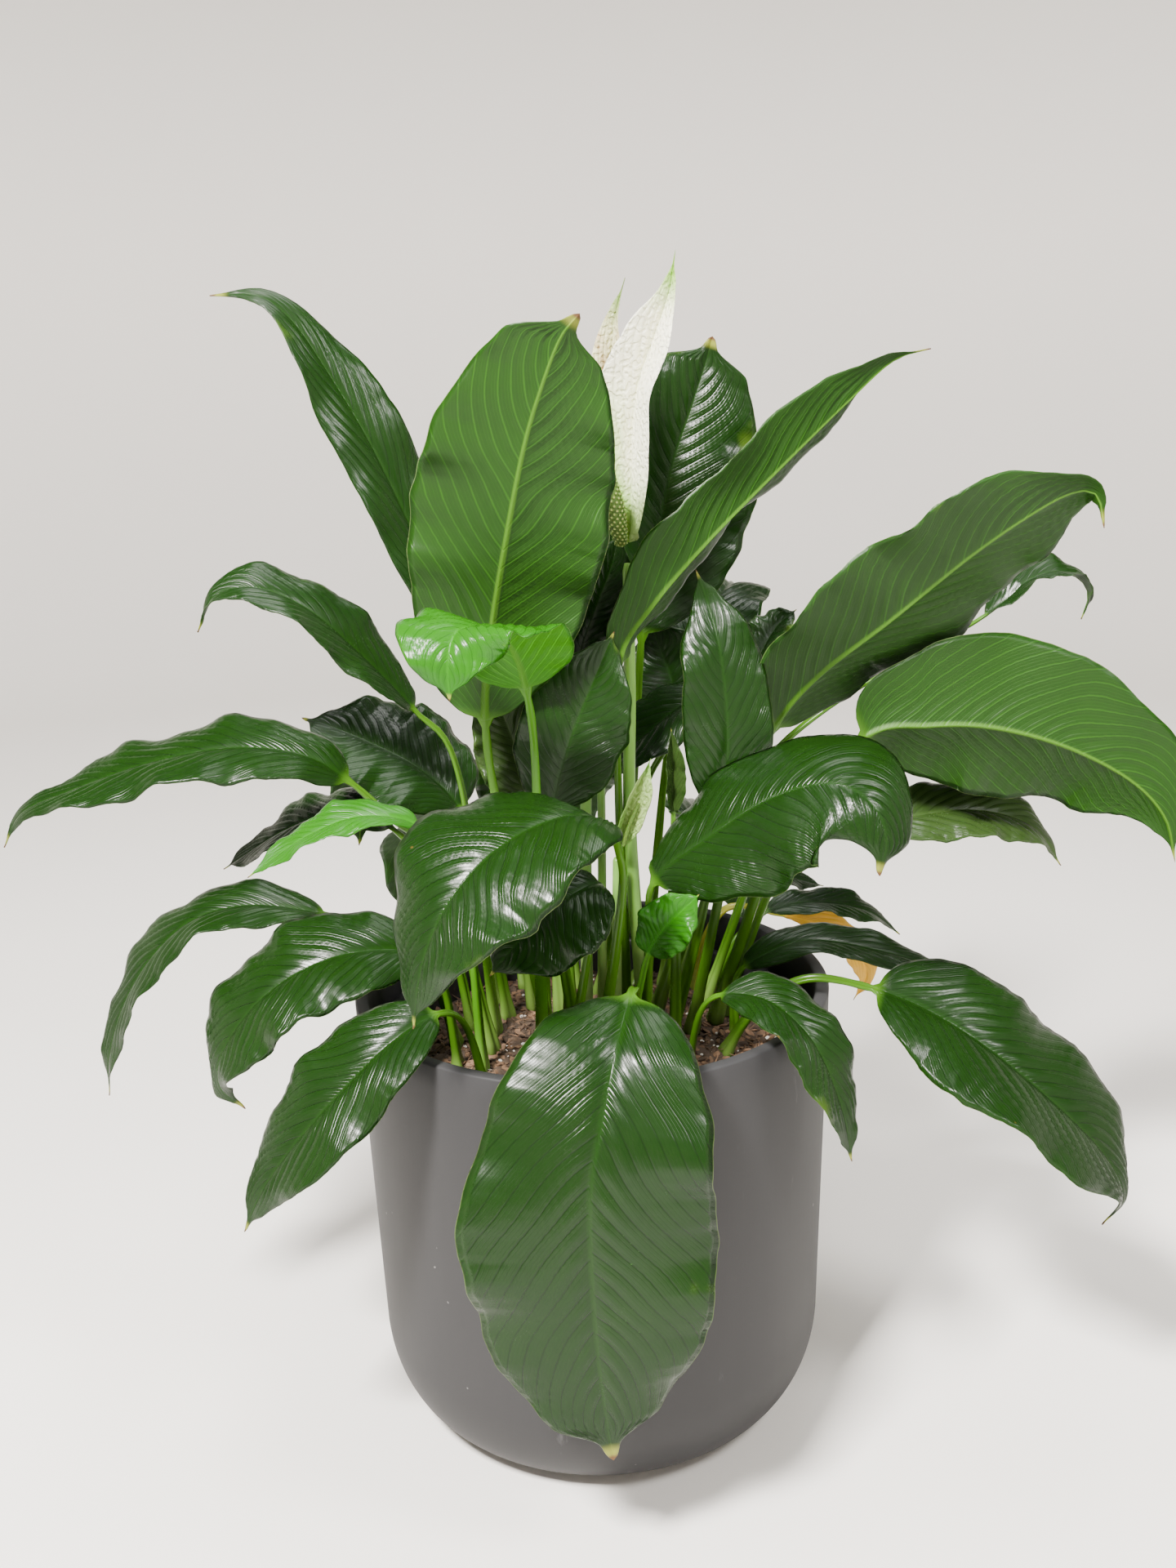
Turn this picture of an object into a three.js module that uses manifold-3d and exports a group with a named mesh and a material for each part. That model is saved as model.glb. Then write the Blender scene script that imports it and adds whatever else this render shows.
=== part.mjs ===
// A peace lily in its nursery pot, standing inside a plain round planter.
// Millimetres, +Z up, the planter's flat base on z = 0 and its axis on x = y = 0.
import * as THREE from "three";
import { mergeVertices } from "three/addons/utils/BufferGeometryUtils.js";
import Module from "manifold-3d";

const wasm = await Module();
wasm.setup();

// Driving sizes
const GAP = 0.3;                       // left between pieces that touch
const PLANTER_RADIUS = 150;            // outside, at the rim
const PLANTER_LOW_RADIUS = 143.5;      // outside, where the rounded bottom begins
const PLANTER_HEIGHT = 285;
const PLANTER_WALL = 8.5;
const BOTTOM_ROUND = { across: 45, up: 65 };
const RIM_CHAMFER = 1.5;
const NURSERY_RIM_RADIUS = 135;
const NURSERY_TOP_RADIUS = 130;        // outside of the wall, just below its rim
const NURSERY_FOOT_RADIUS = 100;
const NURSERY_WALL = 2.2;
const NURSERY_RIM_Z = 262;
const DRAIN_HOLES = 8;
const DRAIN_RADIUS = 7;
const SOIL_TOP_Z = 243;
const PETIOLE_BASE_RADIUS = 4.4;       // a leaf's stalk where it leaves the soil
const PETIOLE_TOP_RADIUS = 2.5;        // and where it meets the blade
const BLADE_RIB_THICKNESS = 2.6;       // through the midrib, at the base of a blade
const BLADE_EDGE_THICKNESS = 0.9;
const PETIOLE_STEPS = 4;
const BLADE_STEPS = 9;
const SAMPLES_BETWEEN_POINTS = 40;
const AROUND_POT = 48;

const planterFloorTop = PLANTER_WALL + 3;
const nurseryFootZ = planterFloorTop + GAP;
const soilFootZ = nurseryFootZ + NURSERY_WALL + GAP;

const FINISH = {
  planter: { color: 0x5d5a5f, roughness: 0.72 },
  nursery: { color: 0x141414, roughness: 0.45 },
  soil: { color: 0x3a2a1e, roughness: 0.95 },
  deepLeaf: { color: 0x1c4a1a, roughness: 0.35 },
  brightLeaf: { color: 0x2f7a1e, roughness: 0.4 },
  oliveLeaf: { color: 0x4a5a34, roughness: 0.5 },
  yellowLeaf: { color: 0xc9962f, roughness: 0.6 },
  stalk: { color: 0x5f9a33, roughness: 0.45 },
  whiteSpathe: { color: 0xeeeee4, roughness: 0.5 },
  agedSpathe: { color: 0xd8d4bc, roughness: 0.55 },
  spadix: { color: 0x8fa648, roughness: 0.7 },
};

// Every leaf: where its petiole leaves the soil and rises (base, then points), the midrib of its blade from
// the petiole to the drip tip, the blade's full width, the way its upper side faces along the blade, how
// steeply its halves rise from the midrib (fold, degrees) and bend on towards the edges (curl, degrees).
const LEAVES = [
  { name: "arching_leaf_upper_left", petiole: [[-38, 52], [-58, 72, 400]], width: 54,
    blade: [[-76, 80, 485], [-106, 88, 562], [-130, 92, 618], [-154, 96, 662], [-175, 98, 695], [-196, 99, 711],
      [-226, 100, 712]],
    face: [[0.5, -0.8, 0.4], [0.4, -0.75, 0.5], [0.2, -0.5, 0.8]], fold: 18, curl: -20 },
  { name: "broad_leaf_centre", petiole: [[-25, -12], [-52, -18, 395]], width: 112, widest: 0.48,
    blade: [[-58, -27, 464], [-51, -38, 518], [-40, -52, 571], [-27, -68, 624], [-15, -79, 658], [-5, -86, 680],
      [5, -93, 691]],
    face: [[0.1, 0.9, 0.3], [0.1, 0.9, 0.35]], fold: 12, curl: -12 },
  { name: "upright_leaf_back_right", petiole: [[18, 62], [34, 76, 420]], width: 112, widest: 0.5,
    blade: [[40, 85, 492], [51, 92, 548], [62, 98, 598], [76, 104, 636], [85, 108, 661], [90, 108, 678]],
    face: [[0.1, -1, 0.3], [0.2, -1, 0.2]], fold: 16, curl: -14 },
  { name: "diagonal_leaf_right", petiole: [[22, 2], [20, -2, 425]], width: 64,
    blade: [[23, -8, 492], [44, -8, 526], [76, 0, 560], [114, 10, 595], [163, 20, 639], [190, 25, 661],
      [212, 26, 667]],
    face: [[-0.5, 0.7, 0.5], [-0.5, 0.6, 0.6]], fold: 36, curl: -25 },
  { name: "broad_leaf_upper_right", petiole: [[62, 8], [98, 22, 395]], width: 112,
    blade: [[119, 20, 442], [144, 8, 476], [184, -10, 512], [228, -26, 552], [262, -38, 578], [280, -46, 588],
      [290, -52, 586], [294, -54, 568]],
    face: [[-0.4, 0.8, 0.5], [-0.3, 0.8, 0.5], [0.3, 0.5, 0.8]], fold: 10, curl: -10 },
  { name: "drooping_leaf_right", petiole: [[78, 25], [126, 25, 375]], width: 116, widest: 0.36,
    blade: [[175, 17, 434], [214, 10, 442], [252, 4, 441], [295, -2, 429], [334, -7, 408], [356, -10, 384],
      [364, -11, 355]],
    face: [[0, 0.97, 0.25], [0.1, 0.95, 0.3], [0.35, 0.85, 0.35]], fold: 24, curl: -18 },
  { name: "glossy_leaf_centre_right", petiole: [[30, -42], [35, -43, 325]], width: 102, widest: 0.52,
    blade: [[39, -47, 366], [70, -58, 396], [104, -71, 422], [136, -84, 434], [157, -95, 427], [166, -103, 408],
      [162, -108, 386]],
    face: [[-0.4, -0.65, 0.65], [-0.15, -0.6, 0.75], [0.45, -0.75, 0.45]], fold: -4, curl: -30 },
  { name: "small_leaf_far_right", petiole: [[52, 48], [118, 70, 405]], width: 30,
    blade: [[264, 80, 498], [286, 82, 516], [306, 84, 524], [324, 85, 520], [332, 85, 508], [328, 85, 492]],
    face: [[-0.2, -0.2, 1], [0.5, -0.2, 0.8], [1, -0.2, 0.2]], fold: 25, curl: -10 },
  { name: "dark_leaf_far_right", petiole: [[72, 52], [130, 62, 372]], width: 84,
    blade: [[208, 75, 404], [262, 80, 415], [315, 84, 420], [356, 86, 412], [386, 88, 390]],
    face: [[-0.1, -0.1, 1], [0.3, -0.2, 1]], fold: 15, curl: -20 },
  { name: "olive_leaf_right", petiole: [[85, 40], [130, 46, 345]], width: 50, finish: "oliveLeaf",
    blade: [[180, 50, 362], [220, 55, 371], [260, 60, 371], [296, 62, 358], [316, 62, 330]],
    face: [[0, -0.5, 0.9], [0.4, -0.5, 0.7]], fold: 12, curl: -20 },
  { name: "glossy_leaf_lower_right", petiole: [[80, -20], [100, -28, 272], [132, -36, 296]], width: 98,
    blade: [[174, -45, 291], [205, -55, 280], [241, -70, 258], [285, -85, 220], [308, -90, 192], [315, -92, 170],
      [304, -92, 153]],
    face: [[0.1, -0.6, 0.8], [0.4, -0.5, 0.75], [0.8, -0.5, 0.4]], fold: 16, curl: -24 },
  { name: "small_leaf_rim_right", petiole: [[55, -62], [62, -72, 288]], width: 46,
    blade: [[76, -80, 306], [102, -96, 308], [125, -114, 290], [139, -124, 256], [146, -126, 220]],
    face: [[0.3, -0.5, 0.8], [0.7, -0.7, 0.3]], fold: 14, curl: -20 },
  { name: "arching_leaf_right_back", petiole: [[80, 66], [96, 72, 276]], width: 28,
    blade: [[122, 82, 297], [158, 92, 299], [194, 100, 288], [218, 104, 268]],
    face: [[0, -0.4, 0.9], [0.3, -0.4, 0.9]], fold: 14, curl: -20 },
  { name: "arching_leaf_right_front", petiole: [[92, 8], [92, 11, 266]], width: 32, widest: 0.32,
    blade: [[99, 15, 284], [139, 20, 299], [190, 24, 288], [228, 26, 272], [254, 26, 246]],
    face: [[0, -0.4, 0.9], [0.3, -0.4, 0.9]], fold: 14, curl: -20 },
  { name: "yellowed_leaf", petiole: [[66, 84], [92, 96, 293]], width: 26, finish: "yellowLeaf",
    blade: [[136, 108, 284], [168, 113, 272], [188, 116, 253], [197, 117, 233], [188, 116, 214]],
    face: [[0, -0.5, 0.85], [0.2, -0.9, 0.2]], fold: 20, curl: 0 },
  { name: "front_drooping_leaf", petiole: [[18, -78], [22, -96, 300], [25, -112, 324]], width: 134, widest: 0.5,
    blade: [[21, -130, 328], [12, -163, 312], [3, -184, 280], [-4, -194, 248], [-5, -199, 208], [-3, -201, 152],
      [1, -200, 106], [4, -199, 82]],
    face: [[0, -0.5, 0.85], [0, -0.9, 0.3], [0, -1, 0]], fold: 10, curl: -22 },
  { name: "glossy_leaf_front_left", petiole: [[0, -60], [19, -70, 360], [18, -78, 396]], width: 104, widest: 0.38,
    blade: [[9, -95, 419], [-14, -114, 428], [-46, -134, 419], [-71, -148, 398], [-88, -157, 366], [-96, -160, 326]],
    face: [[0.3, 0.2, 0.9], [-0.3, -0.6, 0.75], [-0.75, -0.6, 0.25]], fold: 10, curl: -26 },
  { name: "shaded_leaf_front_left", petiole: [[-18, -68], [2, -66, 345]], width: 76,
    blade: [[8, -67, 372], [-12, -80, 370], [-36, -92, 353], [-58, -99, 330]],
    face: [[0.5, 0, 0.9], [-0.3, -0.7, 0.7], [-0.4, -0.8, 0.5]], fold: 8, curl: -20 },
  { name: "long_leaf_left", petiole: [[-62, -12], [-88, -17, 365], [-120, -20, 404]], width: 66,
    blade: [[-143, -22, 428], [-170, -22, 445], [-212, -22, 450], [-262, -22, 442], [-308, -22, 427],
      [-340, -22, 414], [-354, -22, 392]],
    face: [[0.3, -0.5, 0.8], [-0.1, -0.3, 1], [-0.3, -0.3, 0.9]], fold: 12, curl: -28 },
  { name: "dark_leaf_back_left", petiole: [[-55, 40], [-70, 41, 345]], width: 92,
    blade: [[-82, 45, 388], [-107, 52, 414], [-140, 59, 431], [-168, 65, 442], [-184, 69, 446]],
    face: [[0.4, -0.5, 0.8], [0, -0.5, 0.9]], fold: 12, curl: -20 },
  { name: "arching_leaf_left", petiole: [[-62, 14], [-78, 12, 418]], width: 52,
    blade: [[-104, 10, 463], [-139, 5, 505], [-165, 0, 530], [-192, -5, 543], [-215, -9, 539], [-227, -10, 518]],
    face: [[0.6, -0.4, 0.7], [0.1, -0.4, 0.9], [-0.7, -0.3, 0.6]], fold: 18, curl: -20 },
  { name: "small_leaf_left", petiole: [[-68, -38], [-76, -40, 375]], width: 34, finish: "brightLeaf",
    blade: [[-100, -42, 404], [-132, -46, 412], [-165, -52, 402], [-200, -58, 380]],
    face: [[0, -0.3, 1], [-0.3, -0.3, 0.9]], fold: 16, curl: -20 },
  { name: "dark_leaf_left", petiole: [[-78, 25], [-97, 29, 340]], width: 66,
    blade: [[-126, 35, 380], [-155, 40, 391], [-194, 46, 378], [-240, 50, 350]],
    face: [[0, -0.2, 1], [-0.3, -0.2, 0.9]], fold: 12, curl: -20 },
  { name: "twisted_leaf_left", petiole: [[-86, 4], [-105, 0, 300], [-138, -5, 326]], width: 52,
    blade: [[-166, -8, 338], [-208, -10, 346], [-244, -14, 340], [-271, -18, 319], [-291, -22, 290],
      [-304, -24, 256], [-308, -24, 226]],
    face: [[0.2, -0.3, 0.9], [-0.4, -0.3, 0.9], [-0.8, -0.6, 0.1]], fold: 15, curl: -25 },
  { name: "leaf_lower_left", petiole: [[-84, -28], [-90, -40, 300]], width: 78,
    blade: [[-104, -48, 325], [-135, -58, 332], [-167, -66, 326], [-197, -72, 308], [-219, -76, 280],
      [-224, -76, 256], [-210, -76, 240]],
    face: [[0, -0.5, 0.85], [-0.3, -0.5, 0.8], [-0.8, -0.5, 0.3]], fold: 12, curl: -24 },
  { name: "glossy_leaf_lower_left", petiole: [[-64, -66], [-74, -82, 292]], width: 68,
    blade: [[-90, -100, 308], [-118, -116, 296], [-143, -125, 274], [-167, -130, 249], [-189, -131, 220],
      [-204, -131, 190]],
    face: [[-0.1, -0.6, 0.8], [-0.5, -0.6, 0.6], [-0.7, -0.6, 0.4]], fold: 14, curl: -24 },
  { name: "curled_bright_leaf", petiole: [[-32, -40], [-29, -46, 400], [-29, -56, 460]], width: 82,
    blade: [[-32, -64, 490], [-38, -74, 514], [-51, -88, 529], [-66, -103, 530], [-71, -112, 515], [-71, -112, 494]],
    face: [[0, 0.8, 0.5], [0.2, 0.2, 1], [-0.2, -0.9, 0.3]], fold: 12, curl: -20, finish: "brightLeaf" },
  { name: "olive_leaf_centre_left", petiole: [[-30, 6], [-31, 4, 340]], width: 52, finish: "oliveLeaf",
    blade: [[-34, 0, 400], [-41, -2, 435], [-50, -4, 464], [-58, -4, 486]],
    face: [[0.2, -1, 0.2]], fold: 14, curl: -14 },
  { name: "dark_leaf_centre", petiole: [[-8, -32], [-22, -24, 355]], width: 66,
    blade: [[-20, -20, 405], [-8, -18, 448], [8, -16, 485], [20, -16, 512]],
    face: [[-0.1, -1, 0.2]], fold: 16, curl: -16 },
  { name: "small_upright_leaf", petiole: [[-14, 20], [-16, 22, 420]], width: 42,
    blade: [[-2, 24, 488], [9, 24, 518], [20, 24, 545], [25, 24, 566]],
    face: [[-0.1, -1, 0.1]], fold: 20, curl: -14 },
  { name: "upright_leaf_centre_right", petiole: [[46, -16], [73, -15, 345]], width: 54,
    blade: [[82, -17, 398], [86, -18, 446], [83, -10, 495], [76, 4, 526], [70, 6, 544]],
    face: [[0, -1, 0.2], [0.1, -1, 0.2]], fold: 14, curl: -26 },
  { name: "small_leaf_back_right", petiole: [[38, 30], [102, 50, 425]], width: 34,
    blade: [[114, 70, 472], [127, 78, 494], [141, 82, 505]],
    face: [[-0.3, -0.6, 0.8]], fold: 18, curl: -14 },
  { name: "grey_leaf_back_centre", petiole: [[4, 72], [36, 94, 372]], width: 74,
    blade: [[58, 98, 418], [61, 104, 450], [52, 109, 480], [45, 112, 496]],
    face: [[0.1, -1, 0.3]], fold: 14, curl: -14 },
  { name: "dark_leaf_back_centre", petiole: [[54, 70], [92, 73, 395]], width: 52,
    blade: [[94, 70, 446], [68, 56, 452], [28, 48, 424], [-14, 42, 396]],
    face: [[0.4, -0.2, 0.9], [-0.1, -0.4, 0.9]], fold: 12, curl: -20 },
  { name: "rolled_olive_leaf", petiole: [[50, -40], [53, -29, 345]], width: 24, finish: "oliveLeaf",
    blade: [[53, -14, 398], [54, -10, 422], [53, -8, 450]],
    face: [[0.1, -1, 0.1]], fold: 50, curl: 20 },
  { name: "small_bright_leaf", petiole: [[10, -66], [28, -68, 305]], width: 34, finish: "brightLeaf",
    blade: [[34, -69, 328], [47, -74, 350], [64, -78, 368]],
    face: [[-0.2, -0.9, 0.4]], fold: 16, curl: -14 },
  { name: "leaf_back_rim", petiole: [[24, 94], [60, 116, 286]], width: 34,
    blade: [[94, 128, 300], [130, 138, 304], [170, 144, 292]],
    face: [[0, -0.3, 1]], fold: 12, curl: -20 },
  { name: "back_leaf_centre", petiole: [[-12, 90], [-15, 112, 330]], width: 104,
    blade: [[-20, 130, 368], [-25, 170, 385], [-30, 215, 370], [-35, 258, 322], [-38, 280, 272], [-38, 286, 240]],
    face: [[0, 0.1, 1], [0, 0.6, 0.8], [0, 1, 0.1]], fold: 12, curl: -22 },
  { name: "back_leaf_low_right", petiole: [[50, 88], [62, 124, 322]], width: 88,
    blade: [[74, 164, 342], [92, 205, 338], [111, 244, 301], [124, 273, 246], [130, 284, 202]],
    face: [[0.1, 0.2, 1], [0.4, 0.7, 0.6], [0.4, 0.9, 0.1]], fold: 12, curl: -22 },
  { name: "back_leaf_low_left", petiole: [[-45, 94], [-65, 130, 318]], width: 92,
    blade: [[-75, 150, 345], [-95, 190, 346], [-115, 230, 312], [-129, 260, 258], [-135, 274, 214]],
    face: [[-0.1, 0.2, 1], [-0.4, 0.7, 0.6], [-0.4, 0.9, 0.1]], fold: 12, curl: -22 },
  { name: "back_leaf_upper_left", petiole: [[-20, 42], [-34, 88, 415]], width: 78,
    blade: [[-42, 106, 468], [-52, 130, 530], [-62, 160, 578], [-70, 190, 598], [-76, 214, 590], [-78, 225, 570]],
    face: [[0, -0.8, 0.5], [-0.1, -0.4, 0.9], [0, 0.3, 1]], fold: 16, curl: -18 },
  { name: "back_leaf_upper_right", petiole: [[34, 50], [55, 108, 395]], width: 76,
    blade: [[65, 125, 430], [84, 160, 478], [103, 195, 502], [118, 225, 500], [128, 246, 480]],
    face: [[0, -0.6, 0.7], [0.1, -0.2, 1], [0.2, 0.4, 1]], fold: 14, curl: -20 },
  { name: "back_leaf_mid_left", petiole: [[-64, 66], [-88, 110, 348]], width: 80,
    blade: [[-104, 134, 375], [-130, 166, 386], [-155, 200, 370], [-172, 225, 336], [-178, 235, 305]],
    face: [[-0.1, 0.1, 1], [-0.4, 0.3, 0.9], [-0.8, 0.6, 0.3]], fold: 12, curl: -22 },
];

// Each inflorescence: its own stalk, a spathe shaped like a hooded leaf, and the spadix inside it.
const FLOWERS = [
  { name: "open_flower", finish: "whiteSpathe", stalkRadius: 3.6, spatheWidth: 50, spatheFold: 50,
    stalk: [[34, -6], [27, 0, 380], [29, 8, 470], [30, 12, 548]],
    spathe: [[31, 15, 560], [33, 20, 590], [34, 22, 620], [38, 21, 650], [48, 17, 678], [57, 12, 703], [61, 9, 726]],
    face: [[-0.3, -0.95, 0], [-0.45, -0.9, 0], [-0.25, -0.97, 0]],
    spadix: [[26, 8, 560], [22, -2, 585], [19, -4, 604]], spadixRadius: 6 },
  { name: "aged_flower", finish: "agedSpathe", stalkRadius: 3.2, spatheWidth: 32, spatheFold: 46,
    stalk: [[-4, 6], [0, 18, 400], [6, 36, 500], [8, 40, 548]],
    spathe: [[10, 42, 558], [15, 46, 592], [20, 47, 630], [23, 46, 662], [26, 45, 688], [33, 44, 713]],
    face: [[0.3, -1, 0], [0.1, -1, 0], [-0.7, -0.7, 0]],
    spadix: [[8, 34, 560], [8, 30, 580], [9, 30, 594]], spadixRadius: 4 },
  { name: "spathe_bud", finish: "brightLeaf", stalkRadius: 2.8, spatheWidth: 26, spatheFold: 56,
    stalk: [[14, -24], [17, -20, 340], [18, -18, 372]],
    spathe: [[18, -18, 380], [24, -18, 400], [32, -18, 418], [40, -18, 434]],
    face: [[0.4, -0.9, 0]],
    spadix: [[22, -23.5, 381], [26, -24, 394], [32, -24, 408]], spadixRadius: 1.8 },
  { name: "young_flower", finish: "brightLeaf", stalkRadius: 2.6, spatheWidth: 34, spatheFold: 44,
    stalk: [[6, 24], [9, 20, 360], [10, 18, 418]],
    spathe: [[10, 18, 426], [10, 20, 446], [10, 21, 462], [11, 21, 482]],
    face: [[0.2, -1, 0]],
    spadix: [[9, 12, 428], [8, 10, 440], [8, 10, 452]], spadixRadius: 2.4 },
];

const vector = (p) => new THREE.Vector3(p[0], p[1], p[2] ?? SOIL_TOP_Z + GAP);
const radians = THREE.MathUtils.degToRad;

// Half-width of a blade as a share of its widest, from 0 at its base to 0 at its tip.
const BASE_POWER = 0.6;
function bladeOutline(share, widest = 0.42) {
  const tipPower = (BASE_POWER * (1 - widest)) / widest;
  const peak = widest ** BASE_POWER * (1 - widest) ** tipPower;
  return (share ** BASE_POWER * (1 - share) ** tipPower) / peak;
}

// A direction part way through a list of directions.
function blendDirections(list, share) {
  const place = share * (list.length - 1);
  const first = Math.min(Math.floor(place), Math.max(list.length - 2, 0));
  const second = Math.min(first + 1, list.length - 1);
  return vector(list[first]).lerp(vector(list[second]), place - first).normalize();
}

const smoothCurve = (points) => new THREE.CatmullRomCurve3(points.map(vector), false, "catmullrom", 0.5);

// Points spaced evenly along a part of a smooth curve, with their directions.
function stations(curve, steps, start = 0, end = 1) {
  return Array.from({ length: steps + 1 }, (_, i) => {
    const place = THREE.MathUtils.lerp(start, end, i / steps);
    return { at: curve.getPointAt(place), along: curve.getTangentAt(place), share: i / steps };
  });
}

// The share of a curve's length that lies before one of the points it passes through.
function shareBefore(curve, index) {
  const lengths = curve.getLengths((curve.points.length - 1) * SAMPLES_BETWEEN_POINTS);
  return lengths[index * SAMPLES_BETWEEN_POINTS] / lengths.at(-1);
}

// One closed skin through rings that all have the same number of corners.
function skin(rings) {
  const around = rings[0].length;
  const points = rings.flat();
  const faces = [];
  for (let r = 0; r + 1 < rings.length; r += 1) {
    for (let k = 0; k < around; k += 1) {
      const a = r * around + k;
      const b = r * around + ((k + 1) % around);
      faces.push(a, b, b + around, a, b + around, a + around);
    }
  }
  const last = (rings.length - 1) * around;
  for (let k = 1; k + 1 < around; k += 1) {
    faces.push(0, k + 1, k, last, last + k, last + k + 1);
  }
  const geometry = new THREE.BufferGeometry();
  geometry.setAttribute("position", new THREE.Float32BufferAttribute(points.flatMap((p) => p.toArray()), 3));
  geometry.setIndex(faces);
  return geometry;
}

const CORNERS = 8;

// A ring round a stalk, starting at its side and turning by way of its upper side.
function stalkRing(at, side, up, radius) {
  return Array.from({ length: CORNERS }, (_, k) => {
    const turn = Math.PI - (k * 2 * Math.PI) / CORNERS;
    return at.clone().addScaledVector(side, radius * Math.cos(turn)).addScaledVector(up, radius * Math.sin(turn));
  });
}

// A ring round a blade: two halves that rise from the midrib, with a thickness that fades to the edges.
function bladeRing(at, side, up, half, thickness, fold, curl) {
  const edge = Math.min(BLADE_EDGE_THICKNESS, thickness);
  const corner = (share, face) => {
    const distance = half * Math.abs(share);
    const slope = radians(fold + (curl * Math.abs(share)) / 2);
    const depth = THREE.MathUtils.lerp(thickness, edge, Math.abs(share)) / 2;
    return at.clone()
      .addScaledVector(side, Math.sign(share) * distance * Math.cos(slope))
      .addScaledVector(up, distance * Math.sin(slope) + face * depth);
  };
  return [
    corner(-1, 0), corner(-0.5, 1), corner(0, 1), corner(0.5, 1),
    corner(1, 0), corner(0.5, -1), corner(0, -1), corner(-0.5, -1),
  ];
}

// Directions across a route that keep the given upper side.
function frameAt(along, face) {
  const side = along.clone().cross(face).normalize();
  const up = side.clone().cross(along).normalize();
  return { side, up };
}

// A leaf in one piece: its petiole from the soil, then its blade out to the drip tip.
function leafGeometry({ petiole, blade, width, face, fold, curl, widest }) {
  const rings = [];
  const curve = smoothCurve([...petiole, ...blade]);
  const joint = shareBefore(curve, petiole.length);
  const bladeStations = stations(curve, BLADE_STEPS, joint, 1);
  // The petiole's rings turn with it from the blade down and never twist
  let { side: carried } = frameAt(bladeStations[0].along, blendDirections(face, 0));
  for (const { at, along, share } of stations(curve, PETIOLE_STEPS, 0, joint).slice(0, -1).reverse()) {
    const direction = share === 0 ? new THREE.Vector3(0, 0, 1) : along;
    carried = carried.clone().addScaledVector(direction, -carried.dot(direction)).normalize();
    const up = carried.clone().cross(direction);
    const radius = THREE.MathUtils.lerp(PETIOLE_BASE_RADIUS, PETIOLE_TOP_RADIUS, share);
    rings.unshift(stalkRing(at, carried, up, radius));
  }
  for (const { at, along, share } of bladeStations) {
    const { side, up } = frameAt(along, blendDirections(face, share));
    const least = THREE.MathUtils.lerp(PETIOLE_TOP_RADIUS, 0.8, share);
    const half = Math.max((width / 2) * bladeOutline(share, widest), least);
    const thickness = THREE.MathUtils.lerp(BLADE_RIB_THICKNESS, 1.2, share);
    rings.push(bladeRing(at, side, up, half, thickness, fold, curl));
  }
  return skin(rings);
}

// A plain round stalk of one radius, from the soil to its last point.
function stalkGeometry(points, radius) {
  const across = new THREE.Vector3(0, -1, 0);
  return skin(stations(smoothCurve(points), 6).map(({ at, along, share }) => {
    const { side, up } = frameAt(share === 0 ? new THREE.Vector3(0, 0, 1) : along, across);
    return stalkRing(at, side, up, radius);
  }));
}

// A spathe: a blade whose base clasps the stalk and whose halves stand up round the spadix.
function spatheGeometry({ spathe, spatheWidth, spatheFold, face }) {
  return skin(stations(smoothCurve(spathe), 9).map(({ at, along, share }) => {
    const { side, up } = frameAt(along, blendDirections(face, share));
    const half = Math.max((spatheWidth / 2) * bladeOutline(share), 1.2);
    return bladeRing(at, side, up, half, THREE.MathUtils.lerp(2.2, 1.2, share), spatheFold, -10);
  }));
}

// A spadix: a rounded club that tapers at both ends.
function spadixGeometry({ spadix, spadixRadius }) {
  const across = new THREE.Vector3(0, -1, 0);
  return skin(stations(smoothCurve(spadix), 7).map(({ at, along, share }) => {
    const { side, up } = frameAt(along, across);
    const swell = 0.45 + 0.55 * Math.sin(Math.PI * THREE.MathUtils.lerp(0.12, 0.92, share));
    return stalkRing(at, side, up, spadixRadius * swell);
  }));
}

const lathe = (profile) => new THREE.LatheGeometry(profile.map(([r, z]) => new THREE.Vector2(r, z)), AROUND_POT)
  .rotateX(Math.PI / 2);

// The radius of the planter's outside at a height: a slight taper above a rounded bottom.
function planterRadius(z) {
  if (z >= BOTTOM_ROUND.up) {
    const rise = (z - BOTTOM_ROUND.up) / (PLANTER_HEIGHT - BOTTOM_ROUND.up);
    return THREE.MathUtils.lerp(PLANTER_LOW_RADIUS, PLANTER_RADIUS, rise);
  }
  const drop = 1 - z / BOTTOM_ROUND.up;
  return PLANTER_LOW_RADIUS - BOTTOM_ROUND.across * (1 - Math.sqrt(1 - drop * drop));
}

function planterGeometry() {
  const outside = [];
  const inside = [];
  for (let i = 0; i <= 7; i += 1) {
    const z = BOTTOM_ROUND.up * (1 - Math.cos((i / 7) * (Math.PI / 2)));
    outside.push([planterRadius(z), z]);
  }
  for (let i = 0; i <= 5; i += 1) {
    const z = THREE.MathUtils.lerp(BOTTOM_ROUND.up, planterFloorTop, i / 5);
    inside.push([planterRadius(z) - PLANTER_WALL, z]);
  }
  const rim = [
    [PLANTER_RADIUS, PLANTER_HEIGHT - RIM_CHAMFER],
    [PLANTER_RADIUS - RIM_CHAMFER, PLANTER_HEIGHT],
    [PLANTER_RADIUS - PLANTER_WALL + RIM_CHAMFER, PLANTER_HEIGHT],
    [PLANTER_RADIUS - PLANTER_WALL, PLANTER_HEIGHT - RIM_CHAMFER],
  ];
  return lathe([[0, 0], ...outside, ...rim, ...inside, [0, planterFloorTop]]);
}

// A closed geometry as a solid that can be cut, and back again.
function solidOf(geometry) {
  const bare = geometry.clone();
  bare.deleteAttribute("normal");
  bare.deleteAttribute("uv");
  const merged = mergeVertices(bare, 1e-3);
  return new wasm.Manifold(new wasm.Mesh({
    numProp: 3,
    vertProperties: new Float32Array(merged.attributes.position.array),
    triVerts: new Uint32Array(merged.index.array),
  }));
}

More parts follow.
